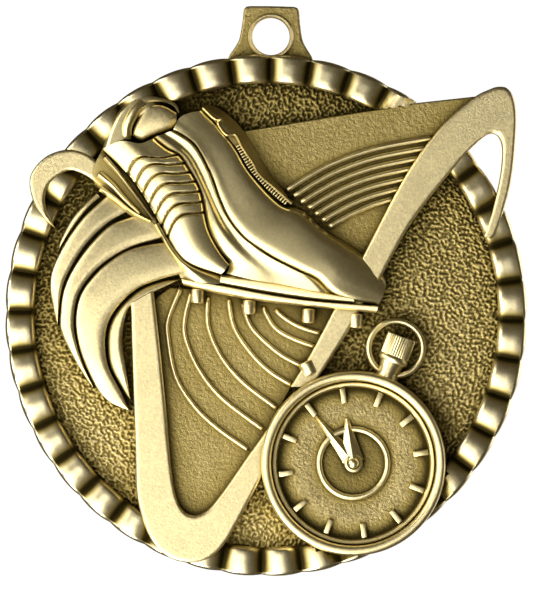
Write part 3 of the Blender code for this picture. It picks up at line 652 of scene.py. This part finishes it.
class MedalFinish(bpy.types.PropertyGroup):
    # Patina and tarnish colours, laid as patina in the hollows and as painted shade round and
    # between raised parts
    patina: FloatVectorProperty(name="Patina", description="Colour of the dark patina",
                                subtype="COLOR", size=3, default=(0.045, 0.033, 0.008),
                                min=0.0, max=1.0)
    tarnish: FloatVectorProperty(name="Tarnish", description="Colour of half rubbed metal",
                                 subtype="COLOR", size=3, default=(0.39, 0.30, 0.092),
                                 min=0.0, max=1.0)
    key_glow: FloatProperty(name="Key glow", description="Brightness of the front softbox",
                            default=2.7, min=0.0)
    low_glow: FloatProperty(name="Low glow", description="Brightness of the softbox below",
                            default=5.2, min=0.0)
    side_glow: FloatProperty(name="Side glow", description="Brightness of the left softbox",
                             default=3.2, min=0.0)


class MEDAL_OT_disc(bpy.types.Operator):
    """Plain back, edge and pebbled ground of the disc"""
    bl_idname = "medal.disc"
    bl_label = "Disc"

    def execute(self, context):
        plate = spun([(0, 0), (DISC_RADIUS - 0.15, 0), (DISC_RADIUS, 0.15),
                      (DISC_RADIUS, FIELD - 0.1), (DISC_RADIUS - 0.1, FIELD),
                      (RIM_INNER + 0.6, FIELD), (RIM_INNER + 0.5, SEAT), (0, SEAT)],
                     steps=160, closed=False)
        cast(plate, "base_disc", SATIN, crease=30)
        for side in (-1, 1):
            cast(self.ground(context.scene.medal_sizes, side), "base_disc", DARK, crease=80,
                 name="ground_left" if side < 0 else "ground_right")
        return {"FINISHED"}

    def ground(self, sizes, side):
        """Half of the pebbled ground within the rim, darker between its pebbles, and with painted
        shade that darkens it higher up.
        """
        radius, cells = RIM_INNER + 0.3, 420
        crevice, shade_climb = 0.42, 0.011
        bm = bmesh.new()
        bmesh.ops.create_grid(bm, x_segments=cells // 2, y_segments=cells, size=1.0)
        recess_and_shade = bm.verts.layers.float.new("recess_and_shade")
        for vert in bm.verts:
            u, v = (vert.co.x + side) / 2, vert.co.y
            x = u * math.sqrt(1 - v * v / 2) * radius
            y = v * math.sqrt(1 - u * u / 2) * radius
            cell = Vector((x, y, 3.0)) / sizes.pebble
            bump = noise.noise(cell) + 0.3 * noise.noise(cell * 2.3)
            share = min(max(0.55 + bump * 1.6, 0), 1)
            share = share * share * (3 - 2 * share)
            vert.co = (x, y, FIELD - sizes.pebble_depth * (1 - share))
            # Patina between the pebbles, plus painted shade: darker towards the top, lighter
            # towards the bottom
            vert[recess_and_shade] = crevice * (0.5 - share) + shade_climb * y
        close_below(bm, SEAT + 0.02)
        return bm


class MEDAL_OT_rim(bpy.types.Operator):
    """Ring of convex flutes with rounded inner ends"""
    bl_idname = "medal.rim"
    bl_label = "Fluted rim"

    def execute(self, context):
        sizes = context.scene.medal_sizes
        crease, outward, outer_wall, steps_per_flute = 2.45, 0.16, 25.1, 14
        watch_reach, panel_slope = 8.9, 1.4
        # radius, height, share of the swell in height, share of the swell outwards
        section = [(RIM_INNER + 0.1, 1.0, 0, 0), (RIM_INNER + 0.1, 1.75, 0, 0),
                   (RIM_INNER + 0.12, crease - 0.32, 0.35, -0.5),
                   (RIM_INNER + 0.2, crease - 0.12, 0.7, -0.6),
                   (RIM_INNER + 0.38, crease - 0.02, 0.92, -0.5),
                   (RIM_INNER + 0.6, crease, 1, -0.2), (RIM_INNER + 1.0, crease, 1, 0),
                   (24.2, crease, 1, 0), (25.0, crease - 0.01, 0.99, 0),
                   (25.16, crease - 0.05, 0.95, 0.2), (25.24, crease - 0.15, 0.85, 0.6),
                   (25.27, crease - 0.4, 0.6, 1), (25.27, 1.0, 0, 0.4), (25.2, 0.6, 0, 0)]
        bm = spun([row[:2] for row in section], steps=sizes.flutes * steps_per_flute)
        recess_and_shade = bm.verts.layers.float.new("recess_and_shade")
        ring = {(round(r, 3), round(h, 3)): (rise, swell) for r, h, rise, swell in section}
        along = (Vector(UPPER_PANEL[1]) - Vector(UPPER_PANEL[0])).normalized()
        panel_edge = Vector((-along.y, along.x))
        for vert in bm.verts:
            radius = vert.co.xy.length
            rise, swell = ring[(round(radius, 3), round(vert.co.z, 3))]
            turn = math.atan2(vert.co.y, vert.co.x)
            share = turn * sizes.flutes / math.tau % 1
            aside = abs(2 * share - 1)
            crest = 1 - aside ** 2.3
            vert[recess_and_shade] = 0.8 * aside ** 2.8 if radius < outer_wall else -0.5
            vert.co.z += rise * crest * sizes.flute_rise
            vert.co.xy *= 1 + swell * crest * outward / radius
            # Keeps the flutes below the stopwatch and the track panel that cross them
            if (vert.co.xy - Vector(WATCH_CENTRE)).length < watch_reach:
                vert.co.z = min(vert.co.z, DIAL - 0.5)
            above = panel_edge.dot(vert.co.xy - Vector(UPPER_PANEL[0]))
            if within(UPPER_PANEL, vert.co) or (0 < above < 1 and 0 < vert.co.x < 17):
                vert.co.z = min(vert.co.z, PANEL - 0.12 + panel_slope * max(0, above))
        cast(bm, "fluted_rim", BRUSHED, crease=50)
        return {"FINISHED"}


class MEDAL_OT_loop(bpy.types.Operator):
    """Ribbon tab with a rounded rim, and the raised collar of its hole"""
    bl_idname = "medal.loop"
    bl_label = "Ribbon loop"

    def execute(self, context):
        count, tab_low = 72, 0.15
        # The hole's first point lies opposite the outline's first corner
        start = -0.75
        corners = (0, 1, 6, 8, 13, 14)
        outline = Rail(smooth_loop(LOOP_OUTLINE, corners, 4) + [LOOP_OUTLINE[0]])
        bm = bmesh.new()
        loops = []
        for points in ([outline.at(i / count) for i in range(count)],
                       arc(LOOP_CENTRE, LOOP_HOLE_RADIUS + 0.16, start, math.tau + start,
                           count)[:-1]):
            verts = [bm.verts.new((*point, tab_low)) for point in points]
            loops += [bm.edges.new((a, b)) for a, b in zip(verts, verts[1:] + verts[:1])]
        ring = bmesh.ops.bridge_loops(bm, edges=loops)["faces"]
        made = bmesh.ops.extrude_face_region(bm, geom=ring, use_keep_orig=True)["geom"]
        bmesh.ops.translate(bm, verts=verts_in(made), vec=(0, 0, TAB - tab_low))
        bmesh.ops.recalc_face_normals(bm, faces=bm.faces)
        round_over(bm, TAB, 0.22)
        cast(bm, "loop_tab", SANDED)
        hole, lip = LOOP_HOLE_RADIUS, LOOP_HOLE_RADIUS + 0.42
        collar = spun([(hole, 0.35), (hole, TAB - 0.05), (hole + 0.06, TAB + 0.12),
                       (hole + 0.16, TAB + 0.22), (hole + 0.28, TAB + 0.22),
                       (lip, TAB + 0.05), (lip, 0.35)], LOOP_CENTRE)
        cast(collar, "loop_collar", SATIN)
        return {"FINISHED"}


class MEDAL_OT_track(bpy.types.Operator):
    """Two sanded panels of running track and their lane lines"""
    bl_idname = "medal.track"
    bl_label = "Running track"

    def execute(self, context):
        cast(slab(UPPER_PANEL, SEAT, PANEL, 0.16), "upper_track_panel", SANDED)
        cast(slab(LOWER_PANEL, SEAT, PANEL, 0.16), "lower_track_panel", SANDED)
        count = len(LOWER_LANES)
        for i in range(count):
            share = i / (count - 1)
            line = [Vector(a).lerp(Vector(b), share)
                    for a, b in zip(UPPER_LANE_TOP, UPPER_LANE_LOW)]
            self.lane(line, f"upper_lane_{i + 1}", 48, 0.64, LANE + 0.22, POLISHED)
        for i, line in enumerate(LOWER_LANES):
            self.lane(line, f"lower_lane_{i + 1}", 64, 0.5, LANE + 0.15, SATIN)
        return {"FINISHED"}

    def lane(self, line, node, along, width, top, finish):
        """A raised line with steep sides that fades into the panel at both ends."""
        length, fade = Rail(line).length, 0.4

        def height(u, w):
            taper = min(1, min(u, 1 - u) * length / fade) ** 0.5
            return PANEL - 0.1 + (top - PANEL) * taper * math.sin(math.pi * w) ** 0.38
        cast(ribbon(line, lambda u: width, height, along, 10, PANEL - 0.3), node, finish)


class MEDAL_OT_bands(bpy.types.Operator):
    """Flat ribbon folded into a V, with a hook at each end"""
    bl_idname = "medal.bands"
    bl_label = "Folded band"

    def execute(self, context):
        turn = 0.3
        for node, (outer, inner) in BANDS.items():
            near, far = Rail(outer), Rail(inner)

            def height(u, w, near=near, far=far):
                reach = abs((far.at(u) - near.at(u)).dot(near.side(u)))
                inside = max(0, turn - min(w, 1 - w) * reach)
                return BAND - turn + math.sqrt(max(0, turn * turn - inside * inside))
            count = max(24, int(near.length * 4))
            cast(patch(outer, inner, height, count, 22), node, SATIN)
        return {"FINISHED"}


class MEDAL_OT_swirls(bpy.types.Operator):
    """Bulging motion swirls behind the shoe"""
    bl_idname = "medal.swirls"
    bl_label = "Motion swirls"
    # share across from the outer edge, share of the rise
    section = [(0, 0.4), (0.04, 0.68), (0.2, 0.84), (0.5, 0.96), (0.72, 1.0), (0.95, 0.9),
               (1, 0.66)]

    def execute(self, context):
        for node, (outer, inner, crest) in SWIRLS.items():
            def height(u, w, crest=crest):
                tail = eased([(0, 0.85), (0.3, 1.0), (0.7, 0.95), (1, 0.3)], u)
                return crest - 1.0 + tail * eased(self.section, w)
            cast(patch(outer, inner, height, 96, 22), node, SATIN)
        return {"FINISHED"}


class MEDAL_OT_heel(bpy.types.Operator):
    """Heel block with its fanned ridges, and the strip under the arch"""
    bl_idname = "medal.heel"
    bl_label = "Heel"

    def execute(self, context):
        near = [(-16.9, 12.4), (-15.2, 11.0), (-13.4, 9.5), (-11.1, 8.5)]
        block = patch(near, [*HEEL_LINE[:4], (-10.7, 8.9)], relief([
            (0.0, [(0, 3.0), (1, 3.2)]), (0.15, [(0, 3.5), (1, 3.4)]),
            (0.85, [(0, 3.6), (1, 3.5)]), (1.0, [(0, 3.4), (1, 3.3)])]),
            32, 14, start=[(-16.9, 12.4), (-17.05, 13.4), (-17.0, 14.2), (-16.2, 15.9)])
        cast(block, "heel_block", DARK)

        def height(u, w):
            return 3.2 + 0.85 * math.sin(math.pi * w) ** 0.6 * math.sin(
                math.pi * min(0.5, 0.2 + u * 1.5)) ** 0.5
        for node, (line, width) in HEEL_RIDGES.items():
            cast(ribbon(line, lambda u, width=width: width * (1 - 0.55 * u), height, 36, 10),
                 node, POLISHED)
        arch_near = [(-11.1, 8.6), (-10.2, 7.1), (-9.3, 5.6), (-8.4, 3.5)]
        arch_far = [(-10.6, 8.8), (-8.95, 6.0), (-7.4, 4.75), (-4.5, 3.75)]
        arch = patch(arch_near, arch_far, relief([
            (0.0, [(0, 3.4), (1, 3.3)]), (0.18, [(0, 4.0), (1, 3.75)]),
            (0.5, [(0, 4.3), (1, 4.15)]), (0.85, [(0, 4.2), (1, 4.0)]),
            (1.0, [(0, 3.9), (1, 3.6)])]), 48, 18,
            end=[(-8.4, 3.5), (-6.5, 3.1), (-4.5, 3.0), (-4.5, 3.75)])
        cast(arch, "arch_strip", POLISHED)
        return {"FINISHED"}


class MEDAL_OT_upper(bpy.types.Operator):
    """Grooved side panel, strap, vamp and toe"""
    bl_idname = "medal.upper"
    bl_label = "Shoe upper"

    def execute(self, context):
        self.quarter()
        self.strap()
        self.vamp()
        return {"FINISHED"}

    def quarter(self):
        """The side of the shoe: a domed panel crossed by a fan of grooves."""
        face = relief([
            (0.0, [(0, 3.7), (0.5, 4.0), (1, 3.9)]), (0.06, [(0, 3.95), (0.5, 4.25), (1, 4.1)]),
            (0.45, [(0, 4.3), (0.5, 4.7), (1, 4.35)]),
            (0.94, [(0, 4.05), (0.5, 4.35), (1, 4.2)]),
            (1.0, [(0, 3.7), (0.5, 3.95), (1, 3.9)])])

        first, last, half_width, depth, fan = 0.2, 0.62, 0.17, 0.3, 0.06

        def height(u, w):
            lean = u + fan * math.sin(math.pi * w)
            share = (lean - first) / (last - first) * (SIDE_GROOVES - 1)
            groove = 0.0
            if -0.5 < share < SIDE_GROOVES - 0.5:
                groove = max(0, 1 - abs(share - round(share)) / half_width) ** 0.8
            return face(u, w) - depth * groove
        panel = patch(HEEL_LINE, STRAP_LINE, height, 220, 28, start=COLLAR_LINE,
                      end=[(-4.5, 3.9), (-4.1, 4.3), (-3.7, 4.9)])
        cast(panel, "shoe_quarter", POLISHED)

    def strap(self):
        """The strip that runs from the collar down to the sole in front of the quarter."""
        near = [*STRAP_LINE, (-3.9, 4.0)]
        rise = relief([
            (0.0, [(0, 3.8), (0.7, 3.9), (1, 3.4)]), (0.12, [(0, 4.5), (0.6, 4.7), (1, 3.9)]),
            (0.25, [(0, 4.5), (0.6, 4.7), (1, 3.9)]), (0.55, [(0, 4.2), (0.6, 4.35), (1, 3.75)]),
            (0.9, [(0, 4.3), (0.6, 4.4), (1, 3.8)]), (1.0, [(0, 3.9), (0.6, 3.95), (1, 3.5)])])
        strap = patch(near, VAMP_LINE, rise, 96, 22,
                      end=[(-3.9, 4.0), (0.6, 3.0), (4.0, 2.5), (6.4, 2.2)])
        side = patch([(-4.5, 2.95), (-0.1, 2.2), (4.4, 1.6), (8.6, 1.3)],
                     [(-4.5, 3.9), (-1.0, 3.5), (3.3, 2.8), (8.4, 1.9)],
                     relief([(0.0, [(0, 3.7), (1, 3.5)]), (0.3, [(0, 4.1), (1, 3.8)]),
                             (0.75, [(0, 4.15), (1, 3.85)]), (1.0, [(0, 3.75), (1, 3.5)])]),
                     64, 12)
        cast(merged(strap, side), "shoe_strap", POLISHED)

    def vamp(self):
        """The front of the shoe from the tongue to the toe."""
        near = [*VAMP_LINE, (8.6, 1.45), (10.8, 1.15)]
        far = [*LACE_LINE, (3.4, 10.2), (5.4, 8.5), (7.6, 7.2), (9.4, 6.1), (10.7, 5.1),
               (11.4, 4.1)]
        rise = relief([
            (0.0, [(0, 3.9), (0.5, 4.0), (0.8, 3.6), (1, 2.9)]),
            (0.05, [(0, 4.1), (0.12, 4.55), (0.5, 4.85), (0.8, 4.3), (1, 3.2)]),
            (0.14, [(0, 4.1), (0.12, 4.5), (0.5, 4.95), (0.8, 4.5), (1, 3.3)]),
            (0.3, [(0, 4.0), (0.12, 4.4), (0.5, 4.9), (0.8, 4.5), (1, 3.3)]),
            (0.7, [(0, 3.9), (0.12, 4.2), (0.4, 4.65), (0.6, 4.6), (0.8, 4.2), (1, 3.0)]),
            (0.9, [(0, 3.8), (0.15, 4.1), (0.4, 4.35), (0.6, 4.2), (0.8, 3.7), (1, 2.7)]),
            (1.0, [(0, 3.5), (0.2, 3.6), (0.4, 3.5), (0.6, 2.9), (0.8, 2.6), (1, 2.4)])])
        vamp = patch(near, far, rise, 150, 36, start=TONGUE_TOP,
                     end=[(10.8, 1.15), (11.35, 2.1), (11.6, 3.1), (11.4, 4.1)])
        cast(vamp, "shoe_vamp", POLISHED)


class MEDAL_OT_collar(bpy.types.Operator):
    """Opening of the shoe: collar, padding and the notched edge of the lacing"""
    bl_idname = "medal.collar"
    bl_label = "Collar and lacing"

    def execute(self, context):
        outer = [(-16.2, 15.9), (-15.6, 17.8), (-14.6, 19.7), (-12.7, 21.2), (-10.6, 21.0),
                 (-9.2, 20.5), (-8.8, 19.7)]
        inner = [(-13.7, 17.1), (-13.5, 18.5), (-12.2, 20.3), (-10.5, 20.6), (-9.4, 20.2),
                 (-8.9, 19.5)]
        collar = patch(outer, inner, relief([
            (0.0, [(0, 3.0), (0.6, 2.8), (1, 2.7)]), (0.2, [(0, 3.5), (0.6, 3.2), (1, 3.0)]),
            (0.8, [(0, 3.6), (0.6, 3.3), (1, 3.1)]), (1.0, [(0, 3.4), (0.6, 3.1), (1, 2.9)])]),
            64, 14, start=[(-16.2, 15.9), (-14.9, 16.55), (-13.7, 17.1)])
        strip_line = [(-13.95, 16.9), (-13.85, 18.2), (-13.1, 19.7), (-12.3, 20.5)]
        padding = ribbon(strip_line, lambda u: 1.05,
                         lambda u, w: 3.2 + 0.75 * math.sin(math.pi * w) ** 0.5
                         * math.sin(math.pi * (0.06 + 0.88 * u)) ** 0.5, 32, 12)
        cast(merged(collar, padding), "shoe_collar", POLISHED)
        low = [(-13.3, 17.2), (-12.4, 16.8), (-11.3, 17.3), (-9.7, 17.8)]
        high = [(-13.1, 18.4), (-12.1, 20.0), (-10.6, 20.3), (-9.1, 19.6)]
        lining = patch(low, high, lambda u, w: 2.8 + 0.6 * (
            math.sin(math.pi * w) * math.sin(math.pi * min(1, 0.03 + 0.94 * u))) ** 0.28, 36, 24,
            end=[(-9.7, 17.8), (-9.1, 18.7), (-9.1, 19.6)])
        cast(lining, "shoe_lining", SATIN)
        self.lacing()
        return {"FINISHED"}

    def lacing(self):
        """The slope beyond the lacing, its row of stitches and the bright ridge over them."""
        slope = patch(LACE_LINE, FAR_EDGE, relief([
            (0.0, [(0, 3.9), (1, 3.7)]), (0.35, [(0, 3.8), (1, 3.6)]),
            (0.7, [(0, 3.0), (1, 2.9)]), (1.0, [(0, 2.4), (1, 2.3)])]), 72, 12)
        ridge = ribbon(LACE_RIDGE, lambda u: 0.42,
                       lambda u, w: 3.6 + 0.75 * math.sin(math.pi * w) ** 0.6, 120, 8, 2.5)
        parts = [slope, ridge]
        line = Rail([(-3.0, 16.6), (-1.75, 14.5), (-0.45, 13.0), (0.7, 11.95), (1.9, 10.95)])
        count = 26
        for i in range(count):
            share = (i + 0.5) / count
            side = -line.side(share)
            parts.append(moved(rod(0.085, 0.55, 0.04, 10), lying_at(
                line.at(share) + side * 0.3, math.atan2(-side.y, -side.x), 4.0)))
        cast(merged(*parts), "lace_edge", POLISHED)


class MEDAL_OT_sole(bpy.types.Operator):
    """Sole plate and its four studs"""
    bl_idname = "medal.sole"
    bl_label = "Sole and studs"

    def execute(self, context):
        sole = patch(SOLE_LOW, SOLE_TOP, relief([
            (0.0, [(0, 3.3), (1, 3.3)]), (0.15, [(0, 3.75), (1, 3.8)]),
            (0.45, [(0, 4.0), (1, 4.05)]), (0.85, [(0, 4.05), (1, 4.1)]),
            (1.0, [(0, 3.7), (1, 3.8)])]), 96, 12)
        cast(sole, "shoe_sole", SATIN)
        down = math.radians(-92)
        for i, top in enumerate(STUDS):
            cast(moved(rod(0.62, 1.45, 0.22, 28), lying_at(top, down, 3.0)), f"stud_{i + 1}", SATIN)
        return {"FINISHED"}


class MEDAL_OT_watch(bpy.types.Operator):
    """Stopwatch case, dial, hour marks and dial ring"""
    bl_idname = "medal.watch"
    bl_label = "Stopwatch"

    def execute(self, context):
        case = [(9.0, SEAT), (9.0, 3.6), (8.97, 3.86), (8.88, 4.06), (8.76, WATCH - 0.02),
                (8.62, WATCH), (8.34, WATCH), (8.2, WATCH - 0.05), (8.08, 3.98),
                (8.0, 3.75), (7.98, SEAT)]
        cast(spun(case, WATCH_CENTRE, 160), "watch_case", POLISHED)
        plate = [(0, DIAL), (1.8, DIAL), (3.0, DIAL), (3.6, DIAL), (4.2, DIAL + 0.01),
                 (4.8, DIAL + 0.04), (5.4, DIAL + 0.05), (6.0, DIAL + 0.02), (6.5, DIAL),
                 (7.0, DIAL), (7.5, DIAL), (7.97, DIAL), (7.97, SEAT), (0, SEAT)]
        face = spun(plate, steps=128, closed=False)
        recess_and_shade = face.verts.layers.float.new("recess_and_shade")
        # Painted sheen and shade: a lighter ring about 4 to 6.5 mm out, darker inside it and
        # darkest next to the bezel
        for vert in face.verts:
            vert[recess_and_shade] = eased([(0, 0.2), (3.2, 0.2), (4.3, -0.15), (5.6, -0.25), (6.6, 0.1),
                                  (7.4, 0.5)], vert.co.xy.length)
        bmesh.ops.translate(face, verts=face.verts, vec=(*WATCH_CENTRE, 0))
        cast(face, "dial_plate", SANDED)
        bezel = spun([(7.9, DIAL - 0.2), (7.9, 3.6), (7.86, 3.72), (7.74, 3.8), (7.6, 3.78),
                      (7.5, 3.66), (7.44, 3.4), (7.4, DIAL - 0.2)], WATCH_CENTRE, 160)
        parts = [bezel]
        mark_size, mark_reach, mark_height = (1.45, 0.54, 0.7), 6.62, DIAL + 0.12
        for i in range(MARKS):
            turn = MARK_TILT + math.tau * i / MARKS
            out = Vector((math.cos(turn), math.sin(turn)))
            bar = bmesh.new()
            bmesh.ops.create_cube(bar, size=1.0)
            bmesh.ops.scale(bar, verts=bar.verts, vec=mark_size)
            bmesh.ops.bevel(bar, geom=[e for e in bar.edges if all(v.co.z > 0 for v in e.verts)],
                            offset=0.1, offset_type="OFFSET", segments=3, profile=0.5,
                            affect="EDGES", clamp_overlap=True, material=-1)
            parts.append(moved(bar, lying_at(Vector(WATCH_CENTRE) + out * mark_reach, turn,
                                             mark_height)))
        cast(merged(*parts), "hour_mark_ring", POLISHED)
        ring = spun([(3.62, DIAL - 0.2), (3.62, DIAL + 0.22), (3.54, DIAL + 0.36),
                     (3.42, DIAL + 0.42), (3.24, DIAL + 0.42), (3.12, DIAL + 0.36),
                     (3.04, DIAL + 0.22), (3.04, DIAL - 0.2)], WATCH_CENTRE, 128)
        cast(ring, "dial_ring", POLISHED)
        return {"FINISHED"}


class MEDAL_OT_hands(bpy.types.Operator):
    """The two tapered hands and their hub"""
    bl_idname = "medal.hands"
    bl_label = "Hands"

    def execute(self, context):
        # node, direction, length, width at the hub, height of the sides
        for node, degrees, length, width, low in (("long_hand", 129.5, 5.85, 1.6, 3.35),
                                                  ("short_hand", 99.8, 4.4, 2.1, 3.45)):
            turn = math.radians(degrees)
            along = Vector((math.cos(turn), math.sin(turn)))
            root = Vector(WATCH_CENTRE)
            line = [root + along * 0.2, root + along * length]
            hand = ribbon(line, lambda u, width=width: width * (1 - 0.82 * u),
                          lambda u, w, low=low: low + 0.4 * (1 - abs(2 * w - 1) ** 1.4)
                          * (1 - 0.4 * u), 24, 12, low - 0.15)
            cast(hand, node, POLISHED, crease=25)
        hub = spun([(0, DIAL - 0.2), (0.92, DIAL - 0.2), (0.92, 3.55), (0.84, 3.75), (0.66, 3.8),
                    (0.55, 3.7), (0.5, 3.85), (0.4, 4.0), (0.2, 4.1), (0, 4.12)],
                   WATCH_CENTRE, 64, closed=False)
        cast(hub, "hand_hub", POLISHED)
        return {"FINISHED"}


class MEDAL_OT_crown(bpy.types.Operator):
    """Knurled crown, its neck, the bow ring and the side pusher"""
    bl_idname = "medal.crown"
    bl_label = "Crown and bow"

    def execute(self, context):
        out = Vector((math.cos(CROWN_DIRECTION), math.sin(CROWN_DIRECTION)))

        def along(reach):
            return Vector(WATCH_CENTRE) + out * reach
        knurl = rod(1.42, 2.1, 0.12, 72)
        for vert in knurl.verts:
            turn = math.atan2(vert.co.z, vert.co.y)
            groove = 0.98 + 0.02 * math.cos(turn * KNURLS)
            vert.co.y *= groove
            vert.co.z *= groove * 0.8
        moved(knurl, lying_at(along(11.1), CROWN_DIRECTION, 2.75))
        flange = moved(rod(1.5, 0.7, 0.3, 40), lying_at(along(10.5), CROWN_DIRECTION, 2.7)
                       @ Matrix.Diagonal((1, 1, 0.85, 1)))
        cast(merged(knurl, flange), "crown", POLISHED, crease=30)
        neck = ribbon([along(8.7), along(9.4), along(10.1), along(11.1)],
                      lambda u: eased([(0, 2.4), (0.3, 2.1), (0.5, 2.2), (1, 2.9)], u),
                      lambda u, w: 2.3 + 1.5 * math.sin(math.pi * w) ** 0.4, 24, 14)
        cast(neck, "crown_neck", POLISHED)
        bow = spun(arc((2.65, 2.55), 0.3, 0, math.tau, 14)[:-1], BOW_CENTRE, 128)
        cast(bow, "bow_ring", POLISHED)
        turn, sunk = math.radians(115), 0.6
        root = Vector(PUSHER) - Vector((math.cos(turn), math.sin(turn))) * sunk
        cast(moved(rod(0.84, 1.4, 0.2, 36), lying_at(root, turn, 2.85)), "pusher", POLISHED)
        return {"FINISHED"}


class MEDAL_OT_stage(bpy.types.Operator):
    """Pale floor, soft studio lights and the camera"""
    bl_idname = "medal.stage"
    bl_label = "Stage"

    def execute(self, context):
        scene = context.scene
        look = scene.medal_finish
        scene.view_settings.view_transform = "Standard"
        centre = Vector(BACK)
        drop = 0.0004
        bm = bmesh.new()
        bmesh.ops.create_circle(bm, cap_ends=True, segments=64, radius=2.0)
        bmesh.ops.translate(bm, verts=bm.verts, vec=(0, 0, CAD_BOX[0].z - drop))
        mesh = bpy.data.meshes.new("studio_floor")
        bm.to_mesh(mesh)
        bm.free()
        floor = placed("studio_floor", mesh)
        mesh.materials.append(self.paper())
        floor.visible_shadow = floor.visible_glossy = False
        self.sky(scene)
        # name, place from the disc's centre, side, brightness, colour
        for name, place, size, glow, colour in (
                ("key_softbox", (-0.11, -0.34, -0.13), 0.30, look.key_glow, (1, 0.98, 0.94)),
                ("low_softbox", (-0.11, -0.12, -0.22), 0.22, look.low_glow, (1, 0.98, 0.93)),
                ("side_softbox", (-0.26, -0.15, 0.05), 0.26, look.side_glow, (1, 0.98, 0.93)),
                ("back_softbox", (0.17, 0.34, 0.0), 0.42, 0.95, (1, 0.98, 0.95)),
                ("right_fill", (0.34, 0.10, 0.04), 0.28, 1.6, (1, 0.97, 0.9))):
            light = bpy.data.lights.new(name, "AREA")
            light.size = size
            light.energy = glow * math.pi * size * size
            light.color = colour
            lamp = placed(name, light)
            lamp.location = centre + Vector(place)
            lamp.rotation_euler = (-Vector(place)).to_track_quat("-Z", "Y").to_euler()
            lamp.visible_camera = False
        sensor, distance, view_height = 36.0, 0.8, 0.0575
        aside, above, tilt = 0.00034, 0.00203, math.radians(1)
        camera = bpy.data.cameras.new("camera")
        camera.sensor_width = sensor
        camera.lens = sensor * distance / view_height
        camera.clip_start = 0.01
        view = placed("camera", camera)
        view.matrix_world = (
            Matrix.Translation((centre.x + aside, -distance, centre.z + above))
            @ Matrix.Rotation(math.radians(90), 4, "X") @ Matrix.Rotation(tilt, 4, "Z"))
        scene.camera = view
        return {"FINISHED"}

    def paper(self):
        """White to the camera, pale paper to the light that it passes on."""
        material = bpy.data.materials.new("studio_paper")
        material.use_nodes = True
        material.node_tree.nodes.clear()
        graph = Graph(material.node_tree)
        seen = graph.node("ShaderNodeLightPath").outputs["Is Camera Ray"]
        paper = graph.node("ShaderNodeBsdfDiffuse", {"Color": (0.8, 0.72, 0.55, 1)})
        white = graph.node("ShaderNodeEmission", {"Color": (1, 1, 1, 1), "Strength": 1.05})
        mix = graph.node("ShaderNodeMixShader", {0: seen, 1: paper.outputs[0],
                                                 2: white.outputs[0]})
        graph.node("ShaderNodeOutputMaterial", {"Surface": mix.outputs[0]})
        return material

    def sky(self, scene):
        """A white background, and a dim warm room in the metal's reflections."""
        world = bpy.data.worlds.new("studio_room")
        scene.world = world
        world.use_nodes = True
        world.node_tree.nodes.clear()
        graph = Graph(world.node_tree)
        seen = graph.node("ShaderNodeLightPath").outputs["Is Camera Ray"]
        room_glow, camera_extra = 0.05, 0.99
        strength = graph.math("ADD", graph.math("MULTIPLY", seen, camera_extra), room_glow)
        tint = graph.blend(seen, (1.0, 0.80, 0.42, 1), (1, 1, 1, 1))
        room = graph.node("ShaderNodeBackground", {"Color": tint, "Strength": strength})
        graph.node("ShaderNodeOutputWorld", {"Surface": room.outputs[0]})


PIECES = (MEDAL_OT_disc, MEDAL_OT_rim, MEDAL_OT_loop, MEDAL_OT_track, MEDAL_OT_bands,
          MEDAL_OT_swirls, MEDAL_OT_heel, MEDAL_OT_upper, MEDAL_OT_collar, MEDAL_OT_sole,
          MEDAL_OT_watch, MEDAL_OT_hands, MEDAL_OT_crown, MEDAL_OT_stage)


class MEDAL_PT_panel(bpy.types.Panel):
    """Lists the medal's pieces and their settings"""
    bl_idname = "MEDAL_PT_panel"
    bl_label = "Finisher Medal"
    bl_space_type = "VIEW_3D"
    bl_region_type = "UI"
    bl_category = "Medal"

    def draw(self, context):
        for settings in (context.scene.medal_sizes, context.scene.medal_finish):
            for name in settings.__annotations__:
                self.layout.prop(settings, name)
        for piece in PIECES:
            self.layout.operator(piece.bl_idname)


CLASSES = (MedalSizes, MedalFinish, *PIECES, MEDAL_PT_panel)


def register():
    for cls in CLASSES:
        bpy.utils.register_class(cls)
    bpy.types.Scene.medal_sizes = PointerProperty(type=MedalSizes)
    bpy.types.Scene.medal_finish = PointerProperty(type=MedalFinish)


def unregister():
    del bpy.types.Scene.medal_finish
    del bpy.types.Scene.medal_sizes
    for cls in reversed(CLASSES):
        bpy.utils.unregister_class(cls)


def main():
    register()
    for piece in PIECES:
        getattr(bpy.ops.medal, piece.bl_idname.split(".")[1])()


if __name__ == "__main__":
    main()
